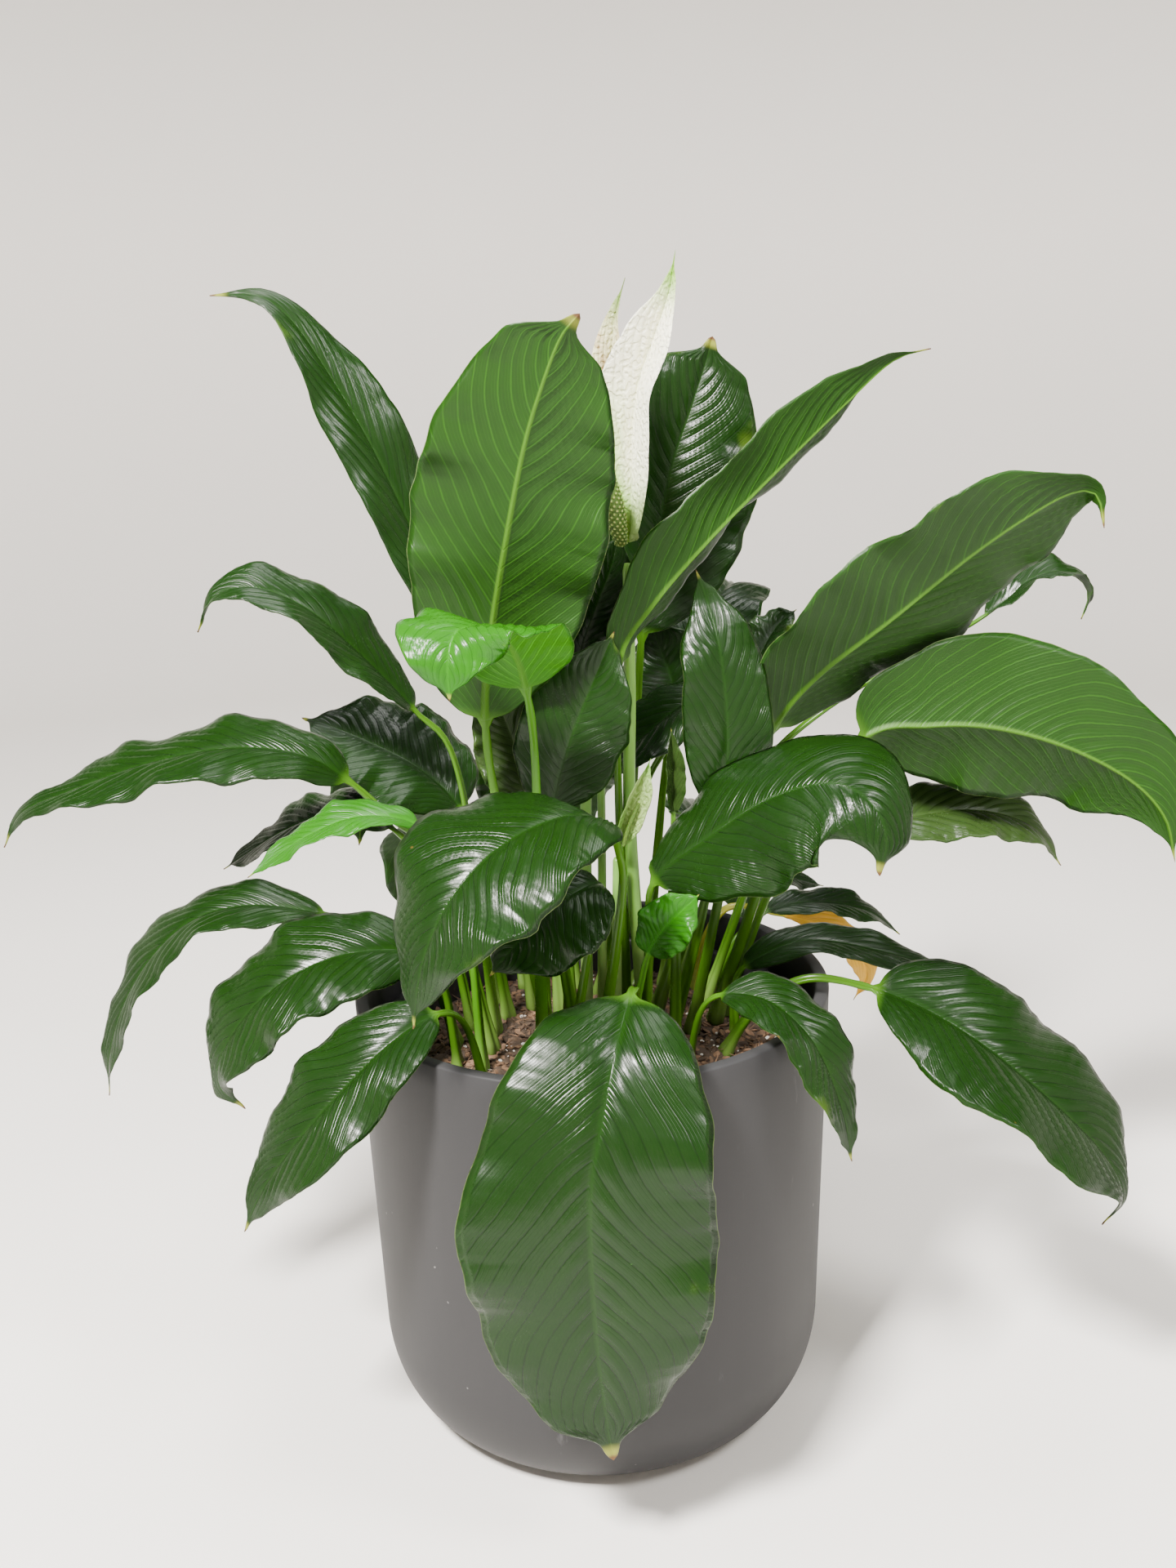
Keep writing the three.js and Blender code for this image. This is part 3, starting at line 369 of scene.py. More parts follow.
class Field:
    """A number or vector inside a node tree, so that a formula there reads as plain arithmetic."""

    def __init__(self, tree, socket):
        self.tree = tree
        self.socket = socket

    def __add__(self, other):
        return calculate("ADD", self, other)

    def __radd__(self, other):
        return calculate("ADD", other, self)

    def __sub__(self, other):
        return calculate("SUBTRACT", self, other)

    def __rsub__(self, other):
        return calculate("SUBTRACT", other, self)

    def __mul__(self, other):
        return calculate("MULTIPLY", self, other)

    def __rmul__(self, other):
        return calculate("MULTIPLY", other, self)

    def __truediv__(self, other):
        return calculate("DIVIDE", self, other)

    def __rtruediv__(self, other):
        return calculate("DIVIDE", other, self)

    def __pow__(self, other):
        return calculate("POWER", self, other)

    def __neg__(self):
        return calculate("MULTIPLY", self, -1.0)


def plug(tree, socket, value):
    if isinstance(value, Field):
        tree.links.new(value.socket, socket)
    else:
        socket.default_value = value


def calculate(operation, *values):
    tree = next(value.tree for value in values if isinstance(value, Field))
    node = tree.nodes.new("ShaderNodeMath")
    node.operation = operation
    for socket, value in zip(node.inputs, values):
        plug(tree, socket, value)
    return Field(tree, node.outputs[0])


def vector_math(operation, *values):
    tree = next(value.tree for value in values if isinstance(value, Field))
    node = tree.nodes.new("ShaderNodeVectorMath")
    node.operation = operation
    for socket, value in zip(node.inputs, values):
        plug(tree, socket, value)
    return Field(tree, node.outputs["Vector"])


def add_node(tree, kind, inputs, **settings):
    """Adds a node, gives it its settings, then plugs its inputs by name."""
    node = tree.nodes.new(kind)
    for name, value in settings.items():
        setattr(node, name, value)
    for name, value in inputs.items():
        plug(tree, next(s for s in node.inputs if s.name == name and s.enabled), value)
    return node


def enabled_output(tree, node, name):
    return Field(tree, next(s for s in node.outputs if s.name == name and s.enabled))


def scaled(vector, factor):
    inputs = {"Vector": vector, "Scale": factor}
    node = add_node(vector.tree, "ShaderNodeVectorMath", inputs, operation="SCALE")
    return Field(vector.tree, node.outputs["Vector"])


def total(*vectors):
    result = vectors[0]
    for vector in vectors[1:]:
        result = vector_math("ADD", result, vector)
    return result


def unit(vector):
    return vector_math("NORMALIZE", vector)


def cross(first, second):
    return vector_math("CROSS_PRODUCT", first, second)


def sine(value):
    return calculate("SINE", value)


def cosine(value):
    return calculate("COSINE", value)


def size_of(value):
    return calculate("ABSOLUTE", value)


def sign_of(value):
    return calculate("SIGN", value)


def larger(first, second):
    return calculate("MAXIMUM", first, second)


def smaller(first, second):
    return calculate("MINIMUM", first, second)


def between(low, high, share):
    """The value part way from low to high."""
    return low + (high - low) * share


def eased(value, start, end):
    """0 before start, 1 after end, and smooth between them."""
    ends = {"Value": value, "From Min": start, "From Max": end}
    node = add_node(value.tree, "ShaderNodeMapRange", ends, interpolation_type="SMOOTHSTEP")
    return Field(value.tree, node.outputs["Result"])


def components(vector):
    node = vector.tree.nodes.new("ShaderNodeSeparateXYZ")
    plug(vector.tree, node.inputs[0], vector)
    return [Field(vector.tree, output) for output in node.outputs]


def combined(tree, x, y, z):
    node = tree.nodes.new("ShaderNodeCombineXYZ")
    for socket, value in zip(node.inputs, (x, y, z)):
        plug(tree, socket, value)
    return Field(tree, node.outputs[0])


def noise(tree, place, scale, detail=2.0, roughness=0.5):
    inputs = {"Vector": place, "Scale": scale, "Detail": detail, "Roughness": roughness}
    return Field(tree, add_node(tree, "ShaderNodeTexNoise", inputs).outputs[0])


def step(tree, kind, **inputs):
    """Adds one node with its inputs plugged, and gives its first output."""
    named = {name.replace("_", " ").title(): value for name, value in inputs.items()}
    return Field(tree, add_node(tree, kind, named).outputs[0])


def position(tree):
    return Field(tree, tree.nodes.new("GeometryNodeInputPosition").outputs[0])


def new_tree(name, inputs):
    """A Geometry Nodes tree with these named inputs, and a Field for each of them."""
    tree = bpy.data.node_groups.new(name, "GeometryNodeTree")
    tree.interface.new_socket(name="Geometry", in_out="OUTPUT", socket_type="NodeSocketGeometry")
    tree.interface.new_socket(name="Geometry", in_out="INPUT", socket_type="NodeSocketGeometry")
    for label, kind, default in inputs:
        socket = tree.interface.new_socket(name=label, in_out="INPUT", socket_type=f"NodeSocket{kind}")
        if default is not None:
            socket.default_value = default
    source = tree.nodes.new("NodeGroupInput")
    return tree, {output.name: Field(tree, output) for output in source.outputs if output.name}


def end_tree(tree, geometry, material):
    """Every tree ends in real geometry that holds its material."""
    real = step(tree, "GeometryNodeRealizeInstances", geometry=geometry)
    finished = step(tree, "GeometryNodeSetMaterial", geometry=real, material=material)
    plug(tree, tree.nodes.new("NodeGroupOutput").inputs["Geometry"], finished)


def store(tree, geometry, name, value, kind="FLOAT", domain="POINT"):
    inputs = {"Geometry": geometry, "Name": name, "Value": value}
    node = add_node(tree, "GeometryNodeStoreNamedAttribute", inputs, data_type=kind, domain=domain)
    return Field(tree, node.outputs["Geometry"])


def random_value(tree, low, high, seed, kind="FLOAT"):
    inputs = {"Min": low, "Max": high, "Seed": seed}
    node = add_node(tree, "FunctionNodeRandomValue", inputs, data_type=kind)
    return enabled_output(tree, node, "Value")


def sampled(tree, curve, share):
    """The place of a curve, its direction and the way it faces, at a share of its length."""
    source = add_node(tree, "GeometryNodeInputNamedAttribute", {"Name": "face"}, data_type="FLOAT_VECTOR")
    inputs = {"Curves": curve, "Value": enabled_output(tree, source, "Attribute"), "Factor": share}
    node = add_node(
        tree, "GeometryNodeSampleCurve", inputs, mode="FACTOR", data_type="FLOAT_VECTOR", use_all_curves=True,
    )
    return [enabled_output(tree, node, name) for name in ("Position", "Tangent", "Value")]


def joined(tree, parts):
    node = tree.nodes.new("GeometryNodeJoinGeometry")
    for part in parts:
        tree.links.new(part.socket, node.inputs[0])
    return Field(tree, node.outputs[0])


# ---------------------------------------------------------------- pieces


def piece(mesh, node):
    """Makes the mesh a piece of the plant that stands for its node."""
    made = bpy.data.objects.new(f"{node}_detailed", mesh)
    bpy.context.scene.collection.objects.link(made)
    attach(made, BODY)
    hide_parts(node)
    return made


def grown(mesh, tree, settings):
    """The mesh that a Geometry Nodes tree makes of another, with its named inputs set."""
    carrier = bpy.data.objects.new("carrier", mesh)
    bpy.context.scene.collection.objects.link(carrier)
    modifier = carrier.modifiers.new("growth", "NODES")
    modifier.node_group = tree
    for item in tree.interface.items_tree:
        if item.in_out == "INPUT" and item.name in settings:
            modifier[item.identifier] = settings[item.name]
    evaluated = carrier.evaluated_get(bpy.context.evaluated_depsgraph_get())
    result = bpy.data.meshes.new_from_object(evaluated)
    carrier.modifiers.remove(modifier)
    bpy.data.objects.remove(carrier)
    return result


def skinned(name, rings, around, material):
    """A closed smooth mesh through rings of points in metres. A ring of one point closes an end by itself."""
    mesh = bpy.data.meshes.new(name)
    shape = bmesh.new()
    loops = [[shape.verts.new(point) for point in ring] for ring in rings]
    for low, high in zip(loops, loops[1:]):
        for k in range(around):
            after = k + 1
            corners = [
                low[k % len(low)], low[after % len(low)], high[after % len(high)], high[k % len(high)],
            ]
            corners = list(dict.fromkeys(corners))
            if len(corners) > 2:
                shape.faces.new(corners)
    for end in (loops[0], loops[-1]):
        if len(end) > 1:
            shape.faces.new(end)
    bmesh.ops.recalc_face_normals(shape, faces=shape.faces)
    shape.to_mesh(mesh)
    shape.free()
    mesh.materials.append(material)
    mesh.shade_smooth()
    return mesh


def turned_profile(name, profile, around, material):
    """A closed mesh turned about Z from (radius, height) points in mm that start and end on the axis."""
    rings = []
    for radius, height in profile:
        turns = [2 * math.pi * k / around for k in range(around if radius else 1)]
        rings.append([
            (radius * MM * math.cos(t), radius * MM * math.sin(t), height * MM) for t in turns
        ])
    return skinned(name, rings, around, material)


# ---------------------------------------------------------------- materials


def new_material(name):
    """An empty node material, with its Principled shader's sockets by name."""
    material = bpy.data.materials.new(name)
    material.use_nodes = True
    tree = material.node_tree
    shader = next(node for node in tree.nodes if node.type == "BSDF_PRINCIPLED")
    return material, tree, shader


def set_shader(tree, shader, colour, roughness, normal, **constants):
    """Plugs the shader's usual sockets, and sets others, such as Subsurface_Scale, to constants."""
    plug(tree, shader.inputs["Base Color"], colour)
    plug(tree, shader.inputs["Roughness"], roughness)
    plug(tree, shader.inputs["Normal"], normal)
    for name, value in constants.items():
        shader.inputs[name.replace("_", " ")].default_value = value


def attribute(tree, name, output="Fac"):
    return Field(tree, add_node(tree, "ShaderNodeAttribute", {}, attribute_name=name).outputs[output])


def brightened(colour, factor):
    return [channel * factor for channel in colour]


def object_place(tree):
    return Field(tree, tree.nodes.new("ShaderNodeTexCoord").outputs["Object"])


def mixed(tree, share, first, second):
    """A colour part way between two, each a Field or three numbers."""
    node = tree.nodes.new("ShaderNodeMix")
    node.data_type = "RGBA"
    plug(tree, node.inputs[0], share)
    for socket, value in ((node.inputs[6], first), (node.inputs[7], second)):
        plug(tree, socket, value if isinstance(value, Field) else (*value, 1.0))
    return Field(tree, node.outputs[2])


def bumped(tree, height, strength, distance):
    inputs = {"Strength": strength, "Distance": distance, "Height": height}
    return Field(tree, add_node(tree, "ShaderNodeBump", inputs).outputs["Normal"])


def planter_material(colour):
    """Matte, dark warm grey, with faint upright streaks, fine grain and a few pale specks."""
    material, tree, shader = new_material("planter_matte_grey")
    place = object_place(tree)
    x, y, z = components(place)
    streaks = noise(tree, combined(tree, x, y, z * 0.04), 70.0, 3.0)
    clouds = noise(tree, place, 9.0, 3.0)
    grain = noise(tree, place, 1400.0, 2.0)
    scuffs = eased(noise(tree, combined(tree, x, y, z * 0.35), 60.0, 4.0, 0.65), 0.66, 0.78)
    specks = eased(noise(tree, place, 200.0, 0.0), 0.87, 0.9)
    tone = between(0.84, 1.16, streaks * 0.5 + clouds * 0.5)
    base = mixed(tree, tone - 0.5, brightened(colour, 0.72), brightened(colour, 1.3))
    base = mixed(tree, scuffs * 0.18, base, (0.3, 0.29, 0.3))
    base = mixed(tree, specks * 0.3, base, (0.4, 0.39, 0.38))
    rough = between(0.5, 0.64, grain * 0.5 + clouds * 0.5)
    normal = bumped(tree, grain + streaks * 2.0, 0.12, 0.0006)
    set_shader(tree, shader, base, rough, normal, Specular_IOR_Level=0.2)
    return material


def nursery_material():
    """Thin black plastic with a dusty bloom and dried splashes of soil."""
    material, tree, shader = new_material("nursery_black_plastic")
    place = object_place(tree)
    dust = eased(noise(tree, place, 26.0, 5.0, 0.6), 0.45, 0.8)
    splashes = eased(noise(tree, place, 140.0, 3.0, 0.6), 0.62, 0.72)
    base = mixed(tree, dust * 0.35, (0.008, 0.008, 0.009), (0.05, 0.045, 0.04))
    base = mixed(tree, splashes * 0.35, base, (0.075, 0.05, 0.032))
    set_shader(tree, shader, base, between(0.34, 0.62, dust), bumped(tree, splashes + dust * 0.4, 0.25, 0.0006))
    return material


def soil_material():
    """Moist brown mix: each chip keeps its own tone, and a pale grain marks the perlite."""
    material, tree, shader = new_material("potting_mix")
    place = object_place(tree)
    tone = attribute(tree, "tone")
    perlite = attribute(tree, "perlite")
    fibre = noise(tree, place, 260.0, 5.0, 0.65)
    coarse = noise(tree, place, 70.0, 3.0)
    dark = mixed(tree, fibre, (0.012, 0.007, 0.004), (0.085, 0.05, 0.028))
    bark = mixed(tree, fibre, (0.05, 0.024, 0.012), (0.26, 0.145, 0.075))
    base = mixed(tree, eased(tone + (coarse - 0.5) * 0.5, 0.25, 0.95), dark, bark)
    pale = mixed(tree, fibre, (0.42, 0.39, 0.34), (0.78, 0.76, 0.7))
    base = mixed(tree, perlite, base, pale)
    set_shader(tree, shader, base, between(0.7, 0.95, fibre), bumped(tree, fibre + coarse, 0.7, 0.0015))
    return material


def leaf_material(name, upper, upper_light, under, petiole, gloss):
    """Living leaf: a glossy upper side, a softer and paler underside, sunken veins and a pale rim.

    The blade's own coordinates ride on it: leaf.x runs from its base to its tip (below 0 on the petiole),
    leaf.y from edge to edge, leaf.z is 1 underneath. rib is the distance from the midrib in rib widths.
    """
    material, tree, shader = new_material(name)
    place = object_place(tree)
    along, across, below = components(attribute(tree, "leaf", "Vector"))
    rib = attribute(tree, "rib")
    vein_count = attribute(tree, "vein")
    on_blade = eased(along, -0.01, 0.03)
    edge = size_of(across)
    vein = eased(cosine(vein_count * math.tau), 0.86, 1.0)
    fine_vein = eased(cosine(vein_count * (math.tau * 4)), 0.55, 1.0)
    mottle = noise(tree, place, 34.0, 4.0, 0.55)
    patches = noise(tree, place, 9.0, 2.0)
    cells = noise(tree, place, 900.0, 2.0)

    top = mixed(tree, mottle * 0.6 + patches * 0.4, upper, upper_light)
    # The main and fine veins on the upper side are painted darker: painted shade in their sunken grooves.
    top = mixed(tree, fine_vein * 0.14, top, upper)
    top = mixed(tree, vein * 0.45, top, brightened(upper, 0.55))
    bottom = mixed(tree, mottle, under, brightened(under, 1.35))
    bottom = mixed(tree, vein * 0.7 + fine_vein * 0.2, bottom, brightened(under, 2.4))
    blade = mixed(tree, below, top, bottom)
    midrib = eased(rib, 1.5, 0.6)
    pale_rib = mixed(tree, below, brightened(upper_light, 1.4), petiole)
    blade = mixed(tree, midrib * between(0.35, 0.9, below), blade, pale_rib)
    rim = eased(edge, 0.99, 0.999) * on_blade
    blade = mixed(tree, rim * 0.5, blade, (0.2, 0.28, 0.1))
    tired = eased(noise(tree, place, 17.0, 3.0, 0.6) + edge * 0.16 + along * 0.1, 0.86, 1.05)
    blade = mixed(tree, tired * 0.6, blade, (0.1, 0.19, 0.008))
    spots = eased(noise(tree, place, 90.0, 1.0) + edge * 0.1, 0.9, 0.93)
    blade = mixed(tree, spots * 0.6, blade, (0.16, 0.085, 0.02))
    yellow_tip = eased(along, 0.955, 0.98)
    blade = mixed(tree, yellow_tip * 0.6, blade, (0.3, 0.32, 0.04))
    brown_tip = eased(along, 0.982, 0.993)
    blade = mixed(tree, brown_tip, blade, (0.1, 0.05, 0.02))

    stalk_streaks = noise(tree, combined(tree, along * 2.0, across * 6.0, below), 5.0, 3.0)
    stalk = mixed(tree, stalk_streaks, brightened(petiole, 0.62), brightened(petiole, 1.25))
    pale_base = eased(along, -0.75, -1.0)
    stalk = mixed(tree, pale_base * 0.3, stalk, (0.3, 0.4, 0.12))

    rough_top = between(gloss, gloss + 0.13, mottle * 0.5 + cells * 0.5)
    rough = between(rough_top, 0.5, smaller(below * on_blade + tired * 0.5 + brown_tip, 1.0))
    height = vein * -0.6 + fine_vein * -0.35 + cells * 0.16
    set_shader(
        tree, shader, mixed(tree, on_blade, stalk, blade), rough,
        bumped(tree, height * on_blade, 0.35, 0.0005),
        Subsurface_Weight=0.08, Subsurface_Radius=(0.3, 1.0, 0.1), Subsurface_Scale=0.0015,
        Specular_IOR_Level=0.2,
    )
    return material


def spathe_material(name, body, veins, flush, stain):
    """A spathe: pale and finely dimpled, green at its base, up one side, along its midrib and at its tip."""
    material, tree, shader = new_material(name)
    place = object_place(tree)
    along, across, below = components(attribute(tree, "leaf", "Vector"))
    rib = attribute(tree, "rib")
    vein_count = attribute(tree, "vein")
    dimples = noise(tree, place, 380.0, 0.0)
    dents = eased(dimples, 0.6, 0.35)
    shade = noise(tree, place, 30.0, 3.0)
    vein = eased(cosine(vein_count * math.tau), 0.6, 1.0)
    # The dents are painted a little darker: painted shade in the dimples.
    base = mixed(tree, shade * 0.4 + vein * 0.2 + dents * 0.12, body, veins)
    green = smaller(
        eased(along, 0.3, 0.05) * 0.75
        + eased(along, 0.76, 0.95)
        + eased(across, 0.1, -0.6) * eased(along, 0.62, 0.3) * 0.8
        + eased(rib, 2.2, 0.5) * between(0.1, 0.6, below),
        1.0,
    )
    base = mixed(tree, green, base, flush)
    stained = eased(noise(tree, place, 45.0, 4.0, 0.6) + size_of(along - 0.6) * -0.8, 0.36, 0.56)
    base = mixed(tree, stained * stain, base, (0.33, 0.17, 0.06))
    set_shader(
        tree, shader, base, between(0.42, 0.6, dimples), bumped(tree, -dents + vein * -0.4, 0.7, 0.0009),
        Subsurface_Weight=0.25, Subsurface_Radius=(1.0, 0.95, 0.7), Subsurface_Scale=0.0015,
    )
    return material


def stalk_material():
    """A flower stalk: smooth bright green with long fine streaks, paler near the soil."""
    material, tree, shader = new_material("stalk_green")
    place = object_place(tree)
    x, y, z = components(place)
    streaks = noise(tree, combined(tree, x, y, z * 0.06), 420.0, 3.0)
    patches = noise(tree, place, 20.0, 2.0)
    base = mixed(tree, streaks * 0.7 + patches * 0.3, (0.07, 0.2, 0.022), (0.2, 0.42, 0.06))
    pale = eased(z, (SOIL_TOP_Z + 110) * MM, SOIL_TOP_Z * MM)
    base = mixed(tree, pale * 0.55, base, (0.4, 0.5, 0.2))
    set_shader(
        tree, shader, base, between(0.32, 0.48, streaks), bumped(tree, streaks, 0.2, 0.0004),
        Subsurface_Weight=0.1, Subsurface_Scale=0.002,
    )
    return material


def spadix_material():
    """Packed florets: green-yellow bumps with creamy tips."""
    material, tree, shader = new_material("spadix_florets")
    place = object_place(tree)
    tip = attribute(tree, "tip")
    shade = noise(tree, place, 300.0, 2.0)
    base = mixed(tree, shade, (0.035, 0.085, 0.006), (0.09, 0.17, 0.012))
    base = mixed(tree, eased(tip, 0.55, 1.0) * 0.7, base, (0.42, 0.48, 0.14))
    set_shader(
        tree, shader, base, between(0.5, 0.75, shade), bumped(tree, shade, 0.3, 0.0004),
        Subsurface_Weight=0.15, Subsurface_Scale=0.001,
    )
    return material


def stage_material(name, colour, roughness):
    material, tree, shader = new_material(name)
    place = object_place(tree)
    paper = noise(tree, place, 3.0, 3.0)
    plug(tree, shader.inputs["Base Color"], mixed(tree, paper, brightened(colour, 0.97), colour))
    shader.inputs["Roughness"].default_value = roughness
    return material


# ---------------------------------------------------------------- stage, planter, nursery pot and soil


def stage_profile():
    """A flat floor that bends up into a wall all round, with a thickness underneath."""
    profile = [(0, 0), (STAGE_FLAT * 0.25, 0), (STAGE_FLAT * 0.5, 0), (STAGE_FLAT, 0)]
    bend_steps = 14
    for i in range(1, bend_steps + 1):
        turn = i / bend_steps * math.pi / 2
        profile.append((STAGE_FLAT + STAGE_BEND * math.sin(turn), STAGE_BEND * (1 - math.cos(turn))))
    inner = STAGE_FLAT + STAGE_BEND
    outer = inner + STAGE_WALL
    return profile + [(inner, STAGE_HEIGHT), (outer, STAGE_HEIGHT), (outer, -STAGE_WALL), (0, -STAGE_WALL)]


def planter_radius(height, shape):
    """Outside radius of the planter: a slight taper above a rounded bottom."""
    if height >= shape.round_up:
        rise = (height - shape.round_up) / (PLANTER_HEIGHT - shape.round_up)
        return shape.low_radius + (PLANTER_RADIUS - shape.low_radius) * rise
    drop = 1 - height / shape.round_up
    return shape.low_radius - shape.round_across * (1 - math.sqrt(max(0.0, 1 - drop * drop)))


def planter_profile(shape):
    """From the middle of the base, up the outside, over the chamfered rim and down the inside."""
    foot_radius = shape.low_radius - shape.round_across
    profile = [(0, 0), (foot_radius * 0.5, 0), (foot_radius - 6, 0), (foot_radius - 1.5, 0.3)]
    bottom_steps, wall_steps, lip = 20, 16, 1.4
    for i in range(1, bottom_steps + 1):
        height = shape.round_up * (1 - math.cos(i / bottom_steps * math.pi / 2))
        profile.append((planter_radius(height, shape), height))
    top = PLANTER_HEIGHT - lip
    for i in range(1, wall_steps + 1):
        height = shape.round_up + (top - shape.round_up) * i / wall_steps
        profile.append((planter_radius(height, shape), height))
    inner = PLANTER_RADIUS - shape.wall
    profile += [
        (PLANTER_RADIUS - 0.4 * lip, PLANTER_HEIGHT - 0.35 * lip),
        (PLANTER_RADIUS - lip, PLANTER_HEIGHT),
        (PLANTER_RADIUS - shape.wall / 2, PLANTER_HEIGHT - 0.1),
        (inner + lip, PLANTER_HEIGHT - 0.1),
        (inner + 0.4 * lip, PLANTER_HEIGHT - 0.4 * lip),
    ]
    for i in range(wall_steps + 1):
        height = top + (shape.floor - top) * i / wall_steps
        profile.append((planter_radius(height, shape) - shape.wall, height))
    return profile + [(0, shape.floor)]


def nursery_profile():
    """The thin pot: foot ring, tapering wall, rolled rim, and back down inside."""
    lip = NURSERY_RIM_Z - 6
    inner_foot = NURSERY_FOOT_RADIUS - NURSERY_WALL
    profile = [
        (0, NURSERY_FOOT_Z + 2), (NURSERY_FOOT_RADIUS - 14, NURSERY_FOOT_Z + 2),
        (NURSERY_FOOT_RADIUS - 12, NURSERY_FOOT_Z), (NURSERY_FOOT_RADIUS - 1.5, NURSERY_FOOT_Z),
    ]
    steps = 24
    for i in range(steps + 1):
        share = i / steps
        height = NURSERY_FOOT_Z + 2 + (lip - NURSERY_FOOT_Z - 2) * share
        profile.append((NURSERY_FOOT_RADIUS + (NURSERY_TOP_RADIUS - NURSERY_FOOT_RADIUS) * share, height))
    profile += [
        (NURSERY_RIM_RADIUS - 1, lip), (NURSERY_RIM_RADIUS, lip + 1),
        (NURSERY_RIM_RADIUS, NURSERY_RIM_Z - 1), (NURSERY_RIM_RADIUS - 1, NURSERY_RIM_Z),
        (NURSERY_TOP_RADIUS - NURSERY_WALL + 1, NURSERY_RIM_Z),
    ]
    for i in range(steps + 1):
        share = 1 - i / steps
        height = NURSERY_FOOT_Z + 4.2 + (NURSERY_RIM_Z - 1 - NURSERY_FOOT_Z - 4.2) * share
        radius = inner_foot + (NURSERY_TOP_RADIUS - NURSERY_WALL - inner_foot) * share
        profile.append((radius, height))
    return profile + [(0, NURSERY_FOOT_Z + 4.2)]


def ribbed_tree():
    """Presses upright ribs into a turned wall, fading out towards the rim and the foot."""
    tree, given = new_tree("ribbed_wall", [
        ("Ribs", "Int", 36), ("Depth", "Float", 0.001), ("Low", "Float", 0.0), ("High", "Float", 1.0),
        ("Material", "Material", None),
    ])
    x, y, z = components(position(tree))
    turn = calculate("ARCTAN2", y, x)
    wave = eased(cosine(turn * given["Ribs"]), 0.1, 0.9)
    low, high = given["Low"], given["High"]
    inside_span = eased(z, low, low + 0.012) * eased(z, high, high - 0.008)
    outward = unit(combined(tree, x, y, 0.0))
    moved = step(
        tree, "GeometryNodeSetPosition", geometry=given["Geometry"],
        offset=scaled(outward, wave * inside_span * -given["Depth"]),
    )
    end_tree(tree, moved, given["Material"])
    return tree


def soil_tree():
    """Scatters bark chips, twigs of fibre and grains of perlite over the top of the soil."""
    tree, given = new_tree("soil_litter", [
        ("Chips", "Int", 2600), ("Fibres", "Int", 900), ("Perlite", "Int", 420),
        ("Chip Size", "Float", 0.006), ("Seed", "Int", 7), ("Material", "Material", None),
    ])
    ground = store(tree, given["Geometry"], "tone", 0.12)
    ground = store(tree, ground, "perlite", 0.0)
    normal = Field(tree, tree.nodes.new("GeometryNodeInputNormal").outputs[0])
    facing_up = components(normal)[2]
    on_top = calculate("GREATER_THAN", facing_up, 0.6)
    area = math.pi * (SOIL_RADIUS * MM) ** 2
    # How many of each kind, its proportions, its share of perlite, how finely it is rounded, and its seed
    kinds = (
        (given["Chips"], (1.0, 0.62, 0.3), 0.0, 2, 10),
        (given["Fibres"], (2.3, 0.13, 0.1), 0.0, 1, 20),
        (given["Perlite"], (0.42, 0.4, 0.36), 1.0, 1, 30),
    )
    layers = [ground]
    for count, proportions, perlite, detail, own_seed in kinds:
        seed = given["Seed"] + own_seed
        points = step(
            tree, "GeometryNodeDistributePointsOnFaces", mesh=given["Geometry"], selection=on_top,
            density=count / area, seed=seed,
        )
        stone = step(tree, "GeometryNodeMeshIcoSphere", radius=0.5, subdivisions=detail)
        place = position(tree)
        rough = noise(tree, place, 2.2, 2.0) - 0.5
        lumpy = step(tree, "GeometryNodeSetPosition", geometry=stone, offset=scaled(place, rough * 0.9))
        size = random_value(tree, 0.45, 1.5, seed + 1) * given["Chip Size"]
        spin = random_value(tree, (-0.7, -0.7, 0.0), (0.7, 0.7, 6.28), seed + 2, "FLOAT_VECTOR")
        laid = step(
            tree, "GeometryNodeInstanceOnPoints", points=points, instance=lumpy, rotation=spin,
            scale=scaled(combined(tree, *proportions), size),
        )
        tone = random_value(tree, 0.05, 1.0, seed + 3)
        toned = store(tree, laid, "tone", tone, domain="INSTANCE")
        layers.append(store(tree, toned, "perlite", perlite, domain="INSTANCE"))
    end_tree(tree, joined(tree, layers), given["Material"])
    return tree


def soil_base_mesh(material):
    """The root ball with a gently heaped, uneven top."""
    steps, around = 34, 120
    foot_z = SOIL_BOX[0][2] / MM
    foot_radius = SOIL_RADIUS - (NURSERY_TOP_RADIUS - NURSERY_FOOT_RADIUS)
    profile = [(0, foot_z), (foot_radius, foot_z), (LITTER_RADIUS, SOIL_TOP_Z - 8)]
    for i in range(steps):
        profile.append((LITTER_RADIUS * (1 - i / steps), SOIL_TOP_Z - 4))
    mesh = turned_profile("soil_base", profile + [(0, SOIL_TOP_Z - 4)], around, material)
    dice = random.Random(5)
    for vertex in mesh.vertices:
        if vertex.co.z > (SOIL_TOP_Z - 6) * MM:
            radius = vertex.co.xy.length / (SOIL_RADIUS * MM)
            heap = 3.5 * (1 - radius * radius)
            bumps = 1.2 * math.sin(vertex.co.x * 160) * math.cos(vertex.co.y * 130)
            vertex.co.z += (heap + bumps + dice.uniform(-0.9, 0.9)) * MM * (radius < 0.97)
    return mesh


# ---------------------------------------------------------------- leaves and flowers


